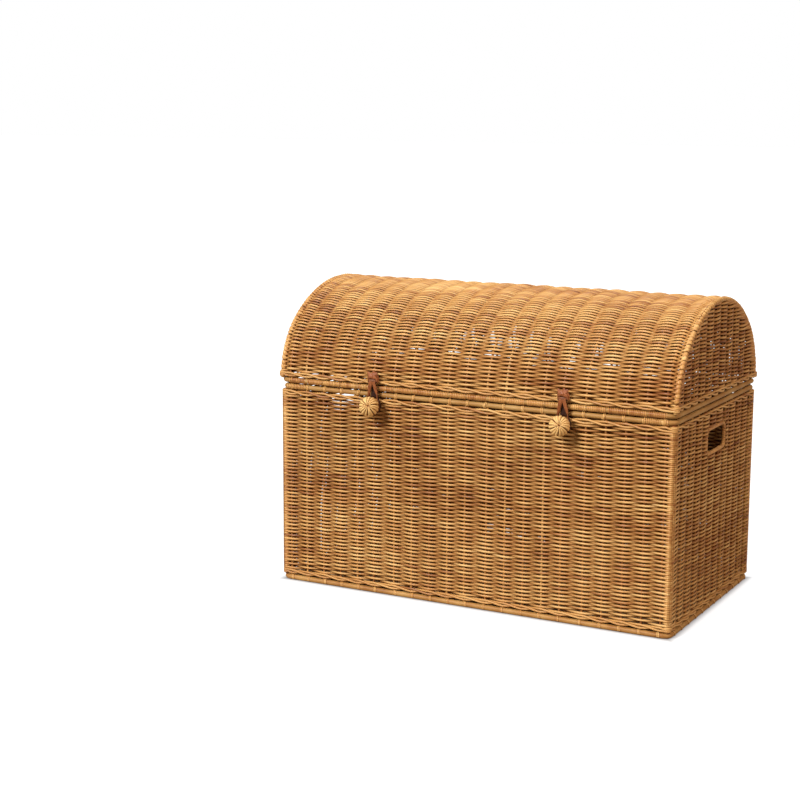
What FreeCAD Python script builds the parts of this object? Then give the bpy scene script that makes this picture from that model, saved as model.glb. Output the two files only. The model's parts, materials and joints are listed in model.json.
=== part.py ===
import FreeCAD, Part
import math
import os

from FreeCAD import Placement, Rotation, Vector

# Wicker storage trunk with a hinged barrel lid, in millimetres.
# Origin: on the floor, at the middle of the wall's footprint. +X along the trunk, +Z up, front faces -Y.
# "Mid-plane" is the plane halfway through a woven wall, where the upright stakes stand.

DRIVING = {
    "trunk_length": 700.0,
    "trunk_depth": 400.0,
    "trunk_height": 508.0,
    "body_height": 340.0,
    "weaver_dia": 3.2,
    "stake_dia": 3.6,
    "corner_post_dia": 8.0,
    "frame_post_dia": 9.0,
    "foot_rim_dia": 9.0,
    "foot_flat_depth": 0.2,
    "rim_dia": 8.0,
    "arch_dia": 9.0,
    "corner_bend": 12.0,
    "rim_slot": 3.0,
    "wale_height": 7.5,
    "lid_gap": 3.0,
    "lid_overhang": 1.5,
    "shoulder_radius": 125.0,
    "front_columns": 21.0,
    "side_columns": 12.0,
    "wide_column_ratio": 1.12,
    "first_stake_inset": 18.0,
    "wide_stake_offset": 3.4,
    "frame_post_offset": 8.5,
    "rod_clearance": 0.05,
    "hinge_clearance": 0.06,
    "hinge_binding_thick": 1.5,
    "hinge_binding_width": 14.0,
    "tie_dia": 1.8,
    "tie_offset": 3.0,
    "rim_wrap_thick": 0.7,
    "rim_wrap_length": 660.0,
    "panel_thick": 5.0,
    "panel_edge_gap": 3.0,
    "crossbar_width": 16.0,
    "crossbar_height": 11.0,
    "hand_hold_width": 85.0,
    "hand_hold_height": 35.0,
    "hand_hold_level": 280.0,
    "hand_frame_dia": 5.0,
    "hand_frame_bend": 10.0,
    "ball_dia": 35.0,
    "ball_level": 319.0,
    "ball_wall_gap": 3.0,
    "cord_dia": 2.4,
    "cord_knot_dia": 7.0,
    "cord_knot_length": 4.5,
    "loop_pivot_level": 360.0,
    "loop_pivot_reach": 6.2,
    "loop_roll_dia": 6.0,
    "loop_roll_length": 19.0,
    "loop_neck_radius": 4.5,
    "loop_neck_drop": 3.3,
    "loop_ball_clearance": 1.0,
    "loop_lean": 2.6,
    "strap_width": 7.0,
    "strap_thick": 2.2,
    "knot_width": 20.0,
    "knot_height": 18.0,
    "knot_thick": 9.2,
    "knot_lid_gap": 0.1,
    "knot_ear_wall": 1.5,
    "knot_slot_width": 14.8,
    "knot_slot_height": 8.5,
    "tie_wrap_angle": 250.0,
}

WIDE_COLUMNS = (5, 10, 15)  # counted from 0; a frame post stands beside the stake of each
CLOSURE_COLUMNS = (5, 15)
HINGE_EDGES = (3, 8, 13, 18)  # a hinge binding sits where each of these columns ends
SHEET = "Dimensions"


def derived_sizes(given):
    """The sizes that follow from the driving ones."""
    wall = given["stake_dia"] + 2 * given["weaver_dia"]
    half_length, half_depth = given["trunk_length"] / 2, given["trunk_depth"] / 2
    foot_level = given["foot_rim_dia"] / 2 - given["foot_flat_depth"]
    foot_top = foot_level + given["foot_rim_dia"] / 2
    rim_radius = given["rim_dia"] / 2
    body_rim_low = given["body_height"] - given["rim_dia"]
    top_wale_high = body_rim_low - given["rim_slot"]
    lid_rim_level = given["body_height"] + given["lid_gap"] + rim_radius
    spring = lid_rim_level + rim_radius
    half_span = half_depth - wall / 2 + given["lid_overhang"] / 2
    rise = given["trunk_height"] - wall / 2 - spring
    shoulder_reach = half_span - given["shoulder_radius"]
    crown_radius = (shoulder_reach**2 + rise**2 - given["shoulder_radius"] ** 2) / (
        2 * (rise - given["shoulder_radius"])
    )
    lid_wale_low = spring + given["rim_slot"]
    hand_frame = given["hand_frame_dia"]
    ball_front = half_depth + given["ball_wall_gap"]
    return {
        "wall_thick": wall,
        "inner_length": given["trunk_length"] - 2 * wall,
        "inner_depth": given["trunk_depth"] - 2 * wall,
        "mid_x": half_length - wall / 2,
        "mid_y": half_depth - wall / 2,
        "stake_radius": given["stake_dia"] / 2,
        "stake_bore_radius": given["stake_dia"] / 2 + given["rod_clearance"],
        "corner_post_inset": given["weaver_dia"] + given["corner_post_dia"] / 2,
        "corner_radius": given["weaver_dia"] + given["corner_post_dia"] / 2,
        "foot_level": foot_level,
        "foot_top": foot_top,
        "bottom_wale_low": foot_top + given["rim_slot"],
        "weave_low": foot_top + given["rim_slot"] + given["wale_height"],
        "weave_high": top_wale_high - given["wale_height"],
        "top_wale_high": top_wale_high,
        "body_rim_low": body_rim_low,
        "body_rim_level": body_rim_low + rim_radius,
        "lid_rim_level": lid_rim_level,
        "arch_spring_level": spring,
        "arch_rise": rise,
        "shoulder_reach": shoulder_reach,
        "crown_radius": crown_radius,
        "lid_centre_y": -given["lid_overhang"] / 2,
        "lid_mid_x": half_length - wall / 2 + given["lid_overhang"],
        "lid_wale_low": lid_wale_low,
        "dome_low": lid_wale_low + given["wale_height"],
        "panel_top": given["crossbar_height"] + given["panel_thick"],
        "hand_cut_width": given["hand_hold_width"] + 2 * hand_frame + 0.2,
        "hand_cut_height": given["hand_hold_height"] + 2 * hand_frame + 0.2,
        "ball_centre_y": -(ball_front + given["ball_dia"] / 2),
        "loop_pivot_y": -(half_depth + given["loop_pivot_reach"]),
        "ring_radius": given["ball_dia"] / 2 + given["loop_ball_clearance"],
    }


doc = FreeCAD.newDocument("WickerTrunk")


def make_sheet():
    """Writes every size to the sheet as a plain number and reads it back."""
    sheet = doc.addObject("Spreadsheet::Sheet", SHEET)
    sizes = dict(DRIVING)
    sizes.update(derived_sizes(DRIVING))
    for row, (alias, number) in enumerate(sizes.items(), start=1):
        sheet.set(f"A{row}", alias)
        sheet.set(f"B{row}", str(number))
        sheet.setAlias(f"B{row}", alias)
    doc.recompute()
    return {alias: float(sheet.get(alias)) for alias in sizes}


size = make_sheet()
subparts = []


def bind(item, **expressions):
    """Binds properties to cells: the words of an expression that are aliases name their cell."""
    for prop, words in expressions.items():
        cells = [f"{SHEET}.{w}" if w in size else w for w in words.split()]
        item.setExpression(prop.replace("__", "."), " ".join(cells))
    return item


def subpart(item, label):
    """Marks an object as a finished sub-part under its own label."""
    item.Label = label
    subparts.append(item)
    return item


def box(name, corner, **sides):
    item = doc.addObject("Part::Box", name)
    item.Placement = Placement(Vector(*corner), Rotation())
    return bind(item, **sides)


def rod(name, start, axis, **sides):
    """A cylinder from start along an axis."""
    item = doc.addObject("Part::Cylinder", name)
    item.Placement = Placement(Vector(*start), Rotation(Vector(0, 0, 1), Vector(*axis)))
    return bind(item, **sides)


def cut(name, base, tool):
    item = doc.addObject("Part::Cut", name)
    item.Base, item.Tool = base, tool
    return item


def common(name, base, tool):
    item = doc.addObject("Part::Common", name)
    item.Base, item.Tool = base, tool
    return item


def fuse(name, pieces):
    item = doc.addObject("Part::MultiFuse", name)
    item.Shapes = pieces
    return item


def group(name, pieces):
    """Separate solids held in one object."""
    item = doc.addObject("Part::Compound", name)
    item.Links = pieces
    return item


def copies(name, master, places):
    """One object that holds a linked copy of the master at each place."""
    links = []
    for number, place in enumerate(places, start=1):
        link = doc.addObject("App::Link", f"{name}_copy_{number}")
        link.LinkedObject = master
        link.LinkTransform = True
        link.Placement = place
        links.append(link)
    return group(name, links)


def shifts(points):
    return [Placement(Vector(*point), Rotation()) for point in points]


def helper(name, shape):
    """A wire or face that a later sweep or extrusion uses."""
    item = doc.addObject("Part::Feature", name)
    item.Shape = shape
    return item


def sweep(name, wire, start, normal, radius):
    """A round pole along a wire: the circle stands at the wire's start."""
    path = helper(f"{name}_path", wire)
    ring = doc.addObject("Part::Circle", f"{name}_section")
    ring.Placement = Placement(start, Rotation(Vector(0, 0, 1), normal))
    bind(ring, Radius=radius)
    item = doc.addObject("Part::Sweep", name)
    item.Sections = [ring]
    item.Spine = (path, [f"Edge{n + 1}" for n in range(len(wire.Edges))])
    item.Solid = True
    item.Frenet = False
    return item


def level_block(name, low, high):
    """A block that holds everything of the trunk between two levels."""
    return box(
        name,
        (-size["trunk_length"], -size["trunk_depth"], 0),
        Length="2 * trunk_length",
        Width="2 * trunk_depth",
        Height=f"{high} - {low}",
        Placement__Base__z=low,
    )


def extrude(name, face, direction, length):
    """A face drawn out both ways from its own plane."""
    item = doc.addObject("Part::Extrusion", name)
    item.Base = helper(f"{name}_outline", face)
    item.DirMode = "Custom"
    item.Dir = Vector(*direction)
    item.Solid = True
    item.Symmetric = True
    return bind(item, LengthFwd=length)


# ---------------------------------------------------------------- column layout


def front_columns():
    """The middle and the right edge of each column along the trunk."""
    count = int(size["front_columns"])
    widths = [size["wide_column_ratio"] if n in WIDE_COLUMNS else 1.0 for n in range(count)]
    unit = size["trunk_length"] / sum(widths)
    middles, edges, left = [], [], -size["trunk_length"] / 2
    for width in widths:
        middles.append(left + width * unit / 2)
        left += width * unit
        edges.append(left)
    return middles, edges


def long_stakes():
    """Where the stakes of the front, the back and the dome stand along the trunk."""
    middles = front_columns()[0]
    reach = size["trunk_length"] / 2 - size["first_stake_inset"]
    places = [x - size["wide_stake_offset"] * (n in WIDE_COLUMNS) for n, x in enumerate(middles)]
    return [-reach] + places[1:-1] + [reach]


def side_stakes():
    """Where the stakes of a short side stand across the trunk."""
    count = int(size["side_columns"])
    pitch = size["trunk_depth"] / count
    reach = size["trunk_depth"] / 2 - size["first_stake_inset"]
    middles = [(n + 0.5) * pitch - size["trunk_depth"] / 2 for n in range(count)]
    return [-reach] + middles[1:-1] + [reach]


def column_middles(columns):
    middles = front_columns()[0]
    return [middles[n] for n in columns]


def beside_wide_columns():
    return [x + size["frame_post_offset"] for x in column_middles(WIDE_COLUMNS)]


# ---------------------------------------------------------------- outlines


def rounded_rectangle(half_x, half_y, bend, level):
    """A closed wire that starts at the middle of the front and runs to +X."""
    x, y, mid = half_x - bend, half_y - bend, bend * (1 - math.sqrt(0.5))

    def at(px, py):
        return Vector(px, py, level)

    start = at(0, -half_y)
    turns = [
        (at(x, -half_y), at(half_x - mid, -half_y + mid), at(half_x, -y)),
        (at(half_x, y), at(half_x - mid, half_y - mid), at(x, half_y)),
        (at(-x, half_y), at(-half_x + mid, half_y - mid), at(-half_x, y)),
        (at(-half_x, -y), at(-half_x + mid, -half_y + mid), at(-x, -half_y)),
    ]
    edges, last = [], start
    for first, middle, end in turns:
        edges += [Part.makeLine(last, first), Part.Arc(first, middle, end).toShape()]
        last = end
    edges.append(Part.makeLine(last, start))
    return Part.Wire(edges)


def arch_edges(offset, foot):
    """A three-centred arch at X = 0, offset outwards from the wall's mid-plane, from the front foot to the back."""
    radius = size["shoulder_radius"] + offset
    crown = size["crown_radius"] + offset
    reach, spring = size["shoulder_reach"], size["arch_spring_level"]
    crown_centre = spring + size["arch_rise"] - size["crown_radius"]
    lean = math.atan2(reach, spring - crown_centre)  # from the vertical, where the arcs meet
    half_turn = (math.pi / 2 + lean) / 2

    def shoulder(side, turn):
        across = reach + radius * math.sin(turn)
        return Vector(0, size["lid_centre_y"] + side * across, spring + radius * math.cos(turn))

    def leg(side):
        return Vector(0, size["lid_centre_y"] + side * (reach + radius), foot)

    top = Vector(0, size["lid_centre_y"], crown_centre + crown)
    front = [shoulder(-1, turn) for turn in (math.pi / 2, half_turn, lean)]
    back = [shoulder(1, turn) for turn in (lean, half_turn, math.pi / 2)]
    edges = [
        Part.Arc(*front).toShape(),
        Part.Arc(front[2], top, back[0]).toShape(),
        Part.Arc(*back).toShape(),
    ]
    if foot < spring:
        edges = [Part.makeLine(leg(-1), front[0])] + edges + [Part.makeLine(back[2], leg(1))]
    return edges


def arch_ends(edges):
    return edges[0].Vertexes[0].Point, edges[-1].Vertexes[-1].Point


def arch_band(inner, outer, foot):
    """The face between two offsets of the arch."""
    low, high = arch_edges(inner, foot), arch_edges(outer, foot)
    (low_front, low_back), (high_front, high_back) = arch_ends(low), arch_ends(high)
    joins = [Part.makeLine(low_back, high_back), Part.makeLine(high_front, low_front)]
    return Part.Face(Part.Wire(Part.__sortEdges__(low + high + joins)))


def arch_fill(offset, foot):
    """The face under an offset of the arch."""
    edges = arch_edges(offset, foot)
    front, back = arch_ends(edges)
    return Part.Face(Part.Wire(Part.__sortEdges__(edges + [Part.makeLine(back, front)])))


def arch_height(offset, y):
    """The level of an offset arch above a place y from the lid's centre."""
    radius = size["shoulder_radius"] + offset
    crown = size["crown_radius"] + offset
    spring = size["arch_spring_level"]
    crown_centre = spring + size["arch_rise"] - size["crown_radius"]
    lean = math.atan2(size["shoulder_reach"], spring - crown_centre)
    if abs(y) <= crown * math.sin(lean):
        return crown_centre + math.sqrt(crown**2 - y**2)
    return spring + math.sqrt(radius**2 - (abs(y) - size["shoulder_reach"]) ** 2)


def teardrop(neck, ring, drop):
    """A wire round a small circle at the origin and a big one below it, in the plane Y = 0."""
    tilt = math.asin((ring - neck) / drop)  # each side's lean from the vertical
    across, down = math.cos(tilt), -math.sin(tilt)

    def on(radius, side, level):
        return Vector(side * radius * across, 0, level - radius * down)

    left_top, right_top = on(neck, -1, 0), on(neck, 1, 0)
    left_low, right_low = on(ring, -1, -drop), on(ring, 1, -drop)
    return Part.Wire(
        [
            Part.Arc(left_top, Vector(0, 0, neck), right_top).toShape(),
            Part.makeLine(right_top, right_low),
            Part.Arc(right_low, Vector(0, 0, -drop - ring), left_low).toShape(),
            Part.makeLine(left_low, left_top),
        ]
    )


# ---------------------------------------------------------------- base and poles


def base_panel():
    half_x = size["inner_length"] / 2 - size["panel_edge_gap"]
    half_y = size["inner_depth"] / 2 - size["panel_edge_gap"]
    panel = box(
        "panel",
        (-half_x, -half_y, 0),
        Length="inner_length - 2 * panel_edge_gap",
        Width="inner_depth - 2 * panel_edge_gap",
        Height="panel_thick",
        Placement__Base__z="crossbar_height",
    )
    subpart(panel, "base_panel")


def base_crossbars():
    bars = []
    half_y = size["inner_depth"] / 2 - size["panel_edge_gap"]
    for number, x in enumerate(column_middles(WIDE_COLUMNS), start=1):
        corner = (x - size["crossbar_width"] / 2, -half_y, 0)
        bars.append(
            box(
                f"crossbar_{number}",
                corner,
                Length="crossbar_width",
                Width="inner_depth - 2 * panel_edge_gap",
                Height="crossbar_height",
            )
        )
    subpart(group("crossbars", bars), "base_crossbars")


def foot_rim():
    """The pole the trunk stands on, with its underside worn flat at the floor."""
    half_x = (size["trunk_length"] - size["foot_rim_dia"]) / 2
    half_y = (size["trunk_depth"] - size["foot_rim_dia"]) / 2
    wire = rounded_rectangle(half_x, half_y, size["corner_bend"], size["foot_level"])
    start = Vector(0, -half_y, size["foot_level"])
    pole = sweep("foot_pole", wire, start, Vector(1, 0, 0), "foot_rim_dia / 2")
    floor = box(
        "foot_trim",
        (-size["trunk_length"], -size["trunk_depth"], -size["foot_rim_dia"]),
        Length="2 * trunk_length",
        Width="2 * trunk_depth",
        Height="foot_rim_dia",
    )
    subpart(cut("foot_rim", pole, floor), "bottom_rim")


def round_rim(name, label, half_x, front_y, back_y, level):
    """A rim pole of the rim's diameter round the whole trunk."""
    half_y, centre = (back_y - front_y) / 2, (back_y + front_y) / 2
    wire = rounded_rectangle(half_x, half_y, size["corner_bend"], level)
    wire.translate(Vector(0, centre, 0))
    pole = sweep(name, wire, Vector(0, front_y, level), Vector(1, 0, 0), "rim_dia / 2")
    subpart(pole, label)


def corner_posts():
    post = rod(
        "corner_post",
        (0, 0, 0),
        (0, 0, 1),
        Radius="corner_post_dia / 2",
        Height="body_rim_low - foot_top",
        Placement__Base__z="foot_top",
    )
    x = size["trunk_length"] / 2 - size["corner_post_inset"]
    y = size["trunk_depth"] / 2 - size["corner_post_inset"]
    places = shifts([(a * x, b * y, 0) for a in (-1, 1) for b in (-1, 1)])
    subpart(copies("corner_post_set", post, places), "corner_posts")


def frame_posts():
    """Posts that stand on the base panel against the inside of the long walls."""
    post = rod(
        "frame_post",
        (0, 0, 0),
        (0, 0, 1),
        Radius="frame_post_dia / 2 - rod_clearance",
        Height="body_rim_level - panel_top",
        Placement__Base__z="panel_top",
    )
    y = (size["inner_depth"] - size["frame_post_dia"]) / 2
    for side, label in ((-1, "front_posts"), (1, "back_posts")):
        places = shifts([(x, side * y, 0) for x in beside_wide_columns()])
        subpart(copies(f"{label}_set", post, places), label)


# ---------------------------------------------------------------- body wall


def body_stake_places():
    """(wall, places) of every full-height stake, and the stakes that the hand-holds interrupt."""
    mid_x, mid_y = size["mid_x"], size["mid_y"]
    beside = size["hand_cut_width"] / 2
    walls = {"front": [(x, -mid_y, 0) for x in long_stakes()]}
    walls["back"] = [(x, mid_y, 0) for x in long_stakes()]
    broken = {}
    for side, wall in ((-1, "left"), (1, "right")):
        places = [(side * mid_x, y, 0) for y in side_stakes()]
        walls[wall] = [p for p in places if abs(p[1]) > beside]
        broken[wall] = [p for p in places if abs(p[1]) <= beside]
    return walls, broken


def stake_master(name, low, high):
    return rod(
        name,
        (0, 0, 0),
        (0, 0, 1),
        Radius="stake_radius",
        Height=f"{high} - ( {low} )",
        Placement__Base__z=low,
    )


def body_stakes():
    walls, broken = body_stake_places()
    full = stake_master("body_stake", "foot_top", "body_rim_low")
    below = stake_master(
        "stake_below_hand_hold", "foot_top", "hand_hold_level - hand_cut_height / 2"
    )
    above = stake_master(
        "stake_above_hand_hold", "hand_hold_level + hand_cut_height / 2", "body_rim_low"
    )
    for wall, places in walls.items():
        rods = copies(f"{wall}_stake_set", full, shifts(places))
        if wall in broken:
            short = [
                copies(f"{wall}_{name}_set", master, shifts(broken[wall]))
                for name, master in (("below", below), ("above", above))
            ]
            rods = group(f"{wall}_all_stakes", [rods] + short)
        subpart(rods, f"{wall}_stakes")


def wall_blank():
    """The woven wall as one rounded tube, bored for every stake, corner post and ball cord."""
    corner = (-size["trunk_length"] / 2, -size["trunk_depth"] / 2, 0)
    outer = box(
        "wall_outside",
        corner,
        Length="trunk_length",
        Width="trunk_depth",
        Height="top_wale_high - bottom_wale_low",
        Placement__Base__z="bottom_wale_low",
    )
    doc.recompute()
    rounded = doc.addObject("Part::Fillet", "wall_rounded")
    rounded.Base = outer
    upright = [
        n for n, edge in enumerate(outer.Shape.Edges, start=1) if abs(edge.tangentAt(0).z) > 0.5
    ]
    rounded.Edges = [(n, size["corner_radius"], size["corner_radius"]) for n in upright]
    inner = box(
        "wall_inside",
        (-size["inner_length"] / 2, -size["inner_depth"] / 2, 0),
        Length="inner_length",
        Width="inner_depth",
        Height="body_height",
    )
    stake_bore = rod(
        "stake_bore", (0, 0, 0), (0, 0, 1), Radius="stake_bore_radius", Height="body_height"
    )
    walls, broken = body_stake_places()
    places = [p for group_of in (walls, broken) for wall in group_of.values() for p in wall]
    corner_bore = rod(
        "corner_bore",
        (0, 0, 0),
        (0, 0, 1),
        Radius="corner_post_dia / 2 + rod_clearance",
        Height="body_height",
    )
    x = size["trunk_length"] / 2 - size["corner_post_inset"]
    y = size["trunk_depth"] / 2 - size["corner_post_inset"]
    corners = shifts([(a * x, b * y, 0) for a in (-1, 1) for b in (-1, 1)])
    cord_bore = rod(
        "cord_bore",
        (0, -size["trunk_depth"] / 2 - size["wall_thick"], size["ball_level"]),
        (0, 1, 0),
        Radius="cord_dia / 2 + rod_clearance",
        Height="3 * wall_thick",
    )
    cords = shifts([(x, 0, 0) for x in column_middles(CLOSURE_COLUMNS)])
    bores = group(
        "wall_bores",
        [
            copies("stake_bore_set", stake_bore, shifts(places)),
            copies("corner_bore_set", corner_bore, corners),
            copies("cord_bore_set", cord_bore, cords),
        ],
    )
    return cut("wall", cut("wall_tube", rounded, inner), bores)


def mitre(name, half_run, half_across, turn):
    """A block round one wall whose ends are cut at 45 degrees through the corners."""
    block = doc.addObject("Part::Wedge", name)
    out, back = size["wall_thick"] / 2, 2 * size["wall_thick"]
    block.Xmin, block.Xmax = -(half_run + out), half_run + out
    block.X2min, block.X2max = -(half_run - back), half_run - back
    block.Ymin, block.Ymax = -(half_across + out), -(half_across - back)
    bind(block, Zmin="weave_low", Z2min="weave_low", Zmax="weave_high", Z2max="weave_high")
    block.Placement = Placement(Vector(), Rotation(Vector(0, 0, 1), turn))
    return block


def hand_hold_tool(side):
    """The block that opens a short wall for the hand-hold and its frame."""
    width, height = size["hand_cut_width"], size["hand_cut_height"]
    middle = side * size["mid_x"]
    block = box(
        f"hand_cut_{'right' if side > 0 else 'left'}",
        (middle - size["wall_thick"], -width / 2, size["hand_hold_level"] - height / 2),
        Length="2 * wall_thick",
        Width="hand_cut_width",
        Height="hand_cut_height",
    )
    doc.recompute()
    rounded = doc.addObject("Part::Fillet", f"{block.Name}_rounded")
    rounded.Base = block
    bend = size["hand_frame_bend"] + size["hand_frame_dia"] / 2
    along = [
        n for n, edge in enumerate(block.Shape.Edges, start=1) if abs(edge.tangentAt(0).x) > 0.5
    ]
    rounded.Edges = [(n, bend, bend) for n in along]
    return rounded


def body_wall():
    wall = wall_blank()
    low = level_block("foot_band", "bottom_wale_low", "weave_low")
    subpart(common("wall_foot_band", wall, low), "bottom_wale")
    high = level_block("top_band", "weave_high", "top_wale_high")
    subpart(common("wall_top_band", wall, high), "body_top_wale")
    half_length, half_depth = size["trunk_length"] / 2, size["trunk_depth"] / 2
    for label, turn in (("front_weave", 0), ("back_weave", 180)):
        block = mitre(f"{label}_block", half_length, half_depth, turn)
        subpart(common(f"{label}_panel", wall, block), label)
    for label, side, turn in (("left_weave", -1, -90), ("right_weave", 1, 90)):
        block = mitre(f"{label}_block", half_depth, half_length, turn)
        panel = common(f"{label}_panel", wall, block)
        subpart(cut(f"{label}_open", panel, hand_hold_tool(side)), label)


def hand_hold_frames():
    """A pole bent round each hand-hold, in the wall's mid-plane."""
    half_y = (size["hand_hold_width"] + size["hand_frame_dia"]) / 2
    half_z = (size["hand_hold_height"] + size["hand_frame_dia"]) / 2
    for side, label in ((-1, "left_hand_hold"), (1, "right_hand_hold")):
        wire = rounded_rectangle(half_y, half_z, size["hand_frame_bend"], 0)
        stand = Placement(
            Vector(side * size["mid_x"], 0, size["hand_hold_level"]),
            Rotation(Vector(0, 1, 0), Vector(0, 0, 1), Vector(1, 0, 0), "XYZ"),
        )
        wire.Placement = stand
        start = stand.multVec(Vector(0, -half_z, 0))
        pole = sweep(f"{label}_pole", wire, start, Vector(0, 1, 0), "hand_frame_dia / 2")
        subpart(pole, label)


# ---------------------------------------------------------------- ties and hinge bindings


def beside_stakes(stakes):
    """(place, side) of each tie of two facing walls: by each stake, towards the middle of the wall."""
    places = [place - math.copysign(size["tie_offset"], place) for place in stakes]
    return [(place, side) for place in places for side in (-1, 1)]


def ties(name, label, half_x, half_y, level, pole_dia, on_foot):
    """Cane turned once round a pole at every column: round the foot pole of all four walls, open
    where the pole meets the floor, or round the rim pole of the long walls only."""
    ring = doc.addObject("Part::Torus", f"{name}_turn")
    bind(
        ring,
        Radius1=f"( {pole_dia} + tie_dia ) / 2 + rod_clearance / 2",
        Radius2="tie_dia / 2",
    )
    if on_foot:
        bind(ring, Angle3="tie_wrap_angle")
    # turned so that an open ring's gap is at the bottom
    gap_down = Rotation(Vector(0, 0, 1), 90 - size["tie_wrap_angle"] / 2)
    on_long = Rotation(Vector(0, 1, 0), Vector(0, 0, 1), Vector(1, 0, 0), "XYZ") * gap_down
    on_short = Rotation(Vector(1, 0, 0), Vector(0, 0, 1), Vector(0, -1, 0), "XYZ") * gap_down
    along = beside_stakes(long_stakes())
    across = beside_stakes(side_stakes()) if on_foot else []
    places = [Placement(Vector(x, side * half_y, level), on_long) for x, side in along]
    places += [Placement(Vector(side * half_x, y, level), on_short) for y, side in across]
    subpart(copies(f"{name}_set", ring, places), label)


def hinge_bindings():
    """Cane loops round both back rim poles. The lid's pole turns in them."""
    low, high = size["body_rim_level"], size["lid_rim_level"]
    edges = front_columns()[1]

    def round_both_poles(name, thickness, overrun):
        """A block round the two poles, a thickness of the binding away from them or none."""
        radius_words = f"rim_dia / 2 + hinge_clearance + {thickness}"
        reach = size["rim_dia"] / 2 + size["hinge_clearance"] + size.get(thickness, 0)
        half = (size["hinge_binding_width"] + overrun) / 2
        length_words = f"hinge_binding_width + {overrun}"
        ends = [
            rod(
                f"{name}_{end}",
                (-half, size["mid_y"], level),
                (1, 0, 0),
                Radius=radius_words,
                Height=length_words,
            )
            for end, level in (("low", low), ("high", high))
        ]
        waist = box(
            f"{name}_waist",
            (-half, size["mid_y"] - reach, low),
            Length=length_words,
            Width=f"2 * ( {radius_words} )",
            Height="lid_rim_level - body_rim_level",
        )
        return fuse(f"{name}_block", ends + [waist])

    outside = round_both_poles("binding_outside", "hinge_binding_thick", 0)
    inside = round_both_poles("binding_inside", "0", 2)
    binding = cut("binding", outside, inside)
    places = shifts([(edges[n - 1], 0, 0) for n in HINGE_EDGES])
    subpart(copies("binding_set", binding, places), "hinge_bindings")


def lid_rim_wrap(dome_bores):
    """Fine cane bound closely round the front of the lid's rim pole, parted where a stake stands on the pole."""
    start = (-size["rim_wrap_length"] / 2, -size["mid_y"] - size["lid_overhang"])
    turns = [
        rod(
            f"rim_wrap_{name}",
            (start[0] - extra / 2, start[1], size["lid_rim_level"]),
            (1, 0, 0),
            Radius=f"rim_dia / 2 + rod_clearance{thick}",
            Height=f"rim_wrap_length + {extra}",
        )
        for name, thick, extra in (("outside", " + rim_wrap_thick", 0), ("inside", "", 2))
    ]
    sleeve = cut("rim_wrap_sleeve", turns[0], turns[1])
    subpart(cut("rim_wrap", sleeve, dome_bores), "lid_rim_wrap")


# ---------------------------------------------------------------- lid


def arch_pole(name, offset, foot, radius):
    """A pole along the arch, at X = 0."""
    edges = arch_edges(offset, foot)
    return sweep(name, Part.Wire(edges), arch_ends(edges)[0], Vector(0, 0, 1), radius)


def lid_arches():
    arch = arch_pole("end_arch", 0, size["arch_spring_level"], "arch_dia / 2")
    for side, label in ((-1, "left_arch"), (1, "right_arch")):
        places = shifts([(side * size["lid_mid_x"], 0, 0)])
        subpart(copies(f"{label}_place", arch, places), label)


def lid_ribs():
    """Frame ribs against the inside of the dome."""
    inward = (size["wall_thick"] + size["frame_post_dia"]) / 2
    foot = size["arch_spring_level"] - size["rim_dia"] / 2
    rib = arch_pole("rib", -inward, foot, "frame_post_dia / 2 - rod_clearance")
    places = shifts([(x, 0, 0) for x in beside_wide_columns()])
    subpart(copies("rib_set", rib, places), "lid_ribs")


def lid_stakes():
    spring = size["arch_spring_level"]
    stake = arch_pole("dome_stake", 0, spring, "stake_radius")
    places = shifts([(x, 0, 0) for x in long_stakes()])
    subpart(copies("dome_stake_set", stake, places), "lid_stakes")
    bore = arch_pole("dome_bore", 0, spring, "stake_bore_radius")
    return copies("dome_bore_set", bore, places)


def end_stakes():
    """Upright stakes of an end panel, from the rim pole to the underside of the arch."""
    spring = size["arch_spring_level"]
    under = -size["arch_dia"] / 2 - size["stake_radius"]
    for side, label in ((-1, "left_end_stakes"), (1, "right_end_stakes")):
        rods = []
        for number, y in enumerate(side_stakes(), start=1):
            item = rod(
                f"{label}_{number}",
                (side * size["lid_mid_x"], size["lid_centre_y"] + y, spring),
                (0, 0, 1),
                Radius="stake_radius",
            )
            item.Height = arch_height(under, y) - spring
            rods.append(item)
        subpart(group(f"{label}_set", rods), label)


def end_blank():
    """An end panel at X = 0, bored for its stakes."""
    plate = extrude(
        "end_plate",
        arch_fill(-size["arch_dia"] / 2 - 0.1, size["arch_spring_level"]),
        (1, 0, 0),
        "wall_thick",
    )
    bore = rod(
        "end_bore", (0, 0, 0), (0, 0, 1), Radius="stake_bore_radius", Height="trunk_height"
    )
    places = shifts([(0, size["lid_centre_y"] + y, 0) for y in side_stakes()])
    return cut("end_bored", plate, copies("end_bore_set", bore, places))


def lid_wall(dome_bores):
    half = size["wall_thick"] / 2
    band = extrude(
        "dome_band",
        arch_band(-half, half, size["arch_spring_level"]),
        (1, 0, 0),
        "2 * ( lid_mid_x - wall_thick / 2 - rod_clearance )",
    )
    dome = cut("dome_bored", band, dome_bores)
    end = end_blank()
    above = level_block("above_wale", "dome_low", "trunk_height")
    beside = level_block("beside_wale", "lid_wale_low", "dome_low")
    subpart(common("dome_part", dome, above), "dome_weave")
    end_weave, end_wale = common("end_part", end, above), common("end_wale", end, beside)
    wale = [common("dome_wale", dome, beside)]
    for side, label in ((-1, "left_end_weave"), (1, "right_end_weave")):
        places = shifts([(side * size["lid_mid_x"], 0, 0)])
        subpart(copies(f"{label}_place", end_weave, places), label)
        wale.append(copies(f"{label}_wale", end_wale, places))
    subpart(group("lid_wale_set", wale), "lid_wale")


# ---------------------------------------------------------------- closures


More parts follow.
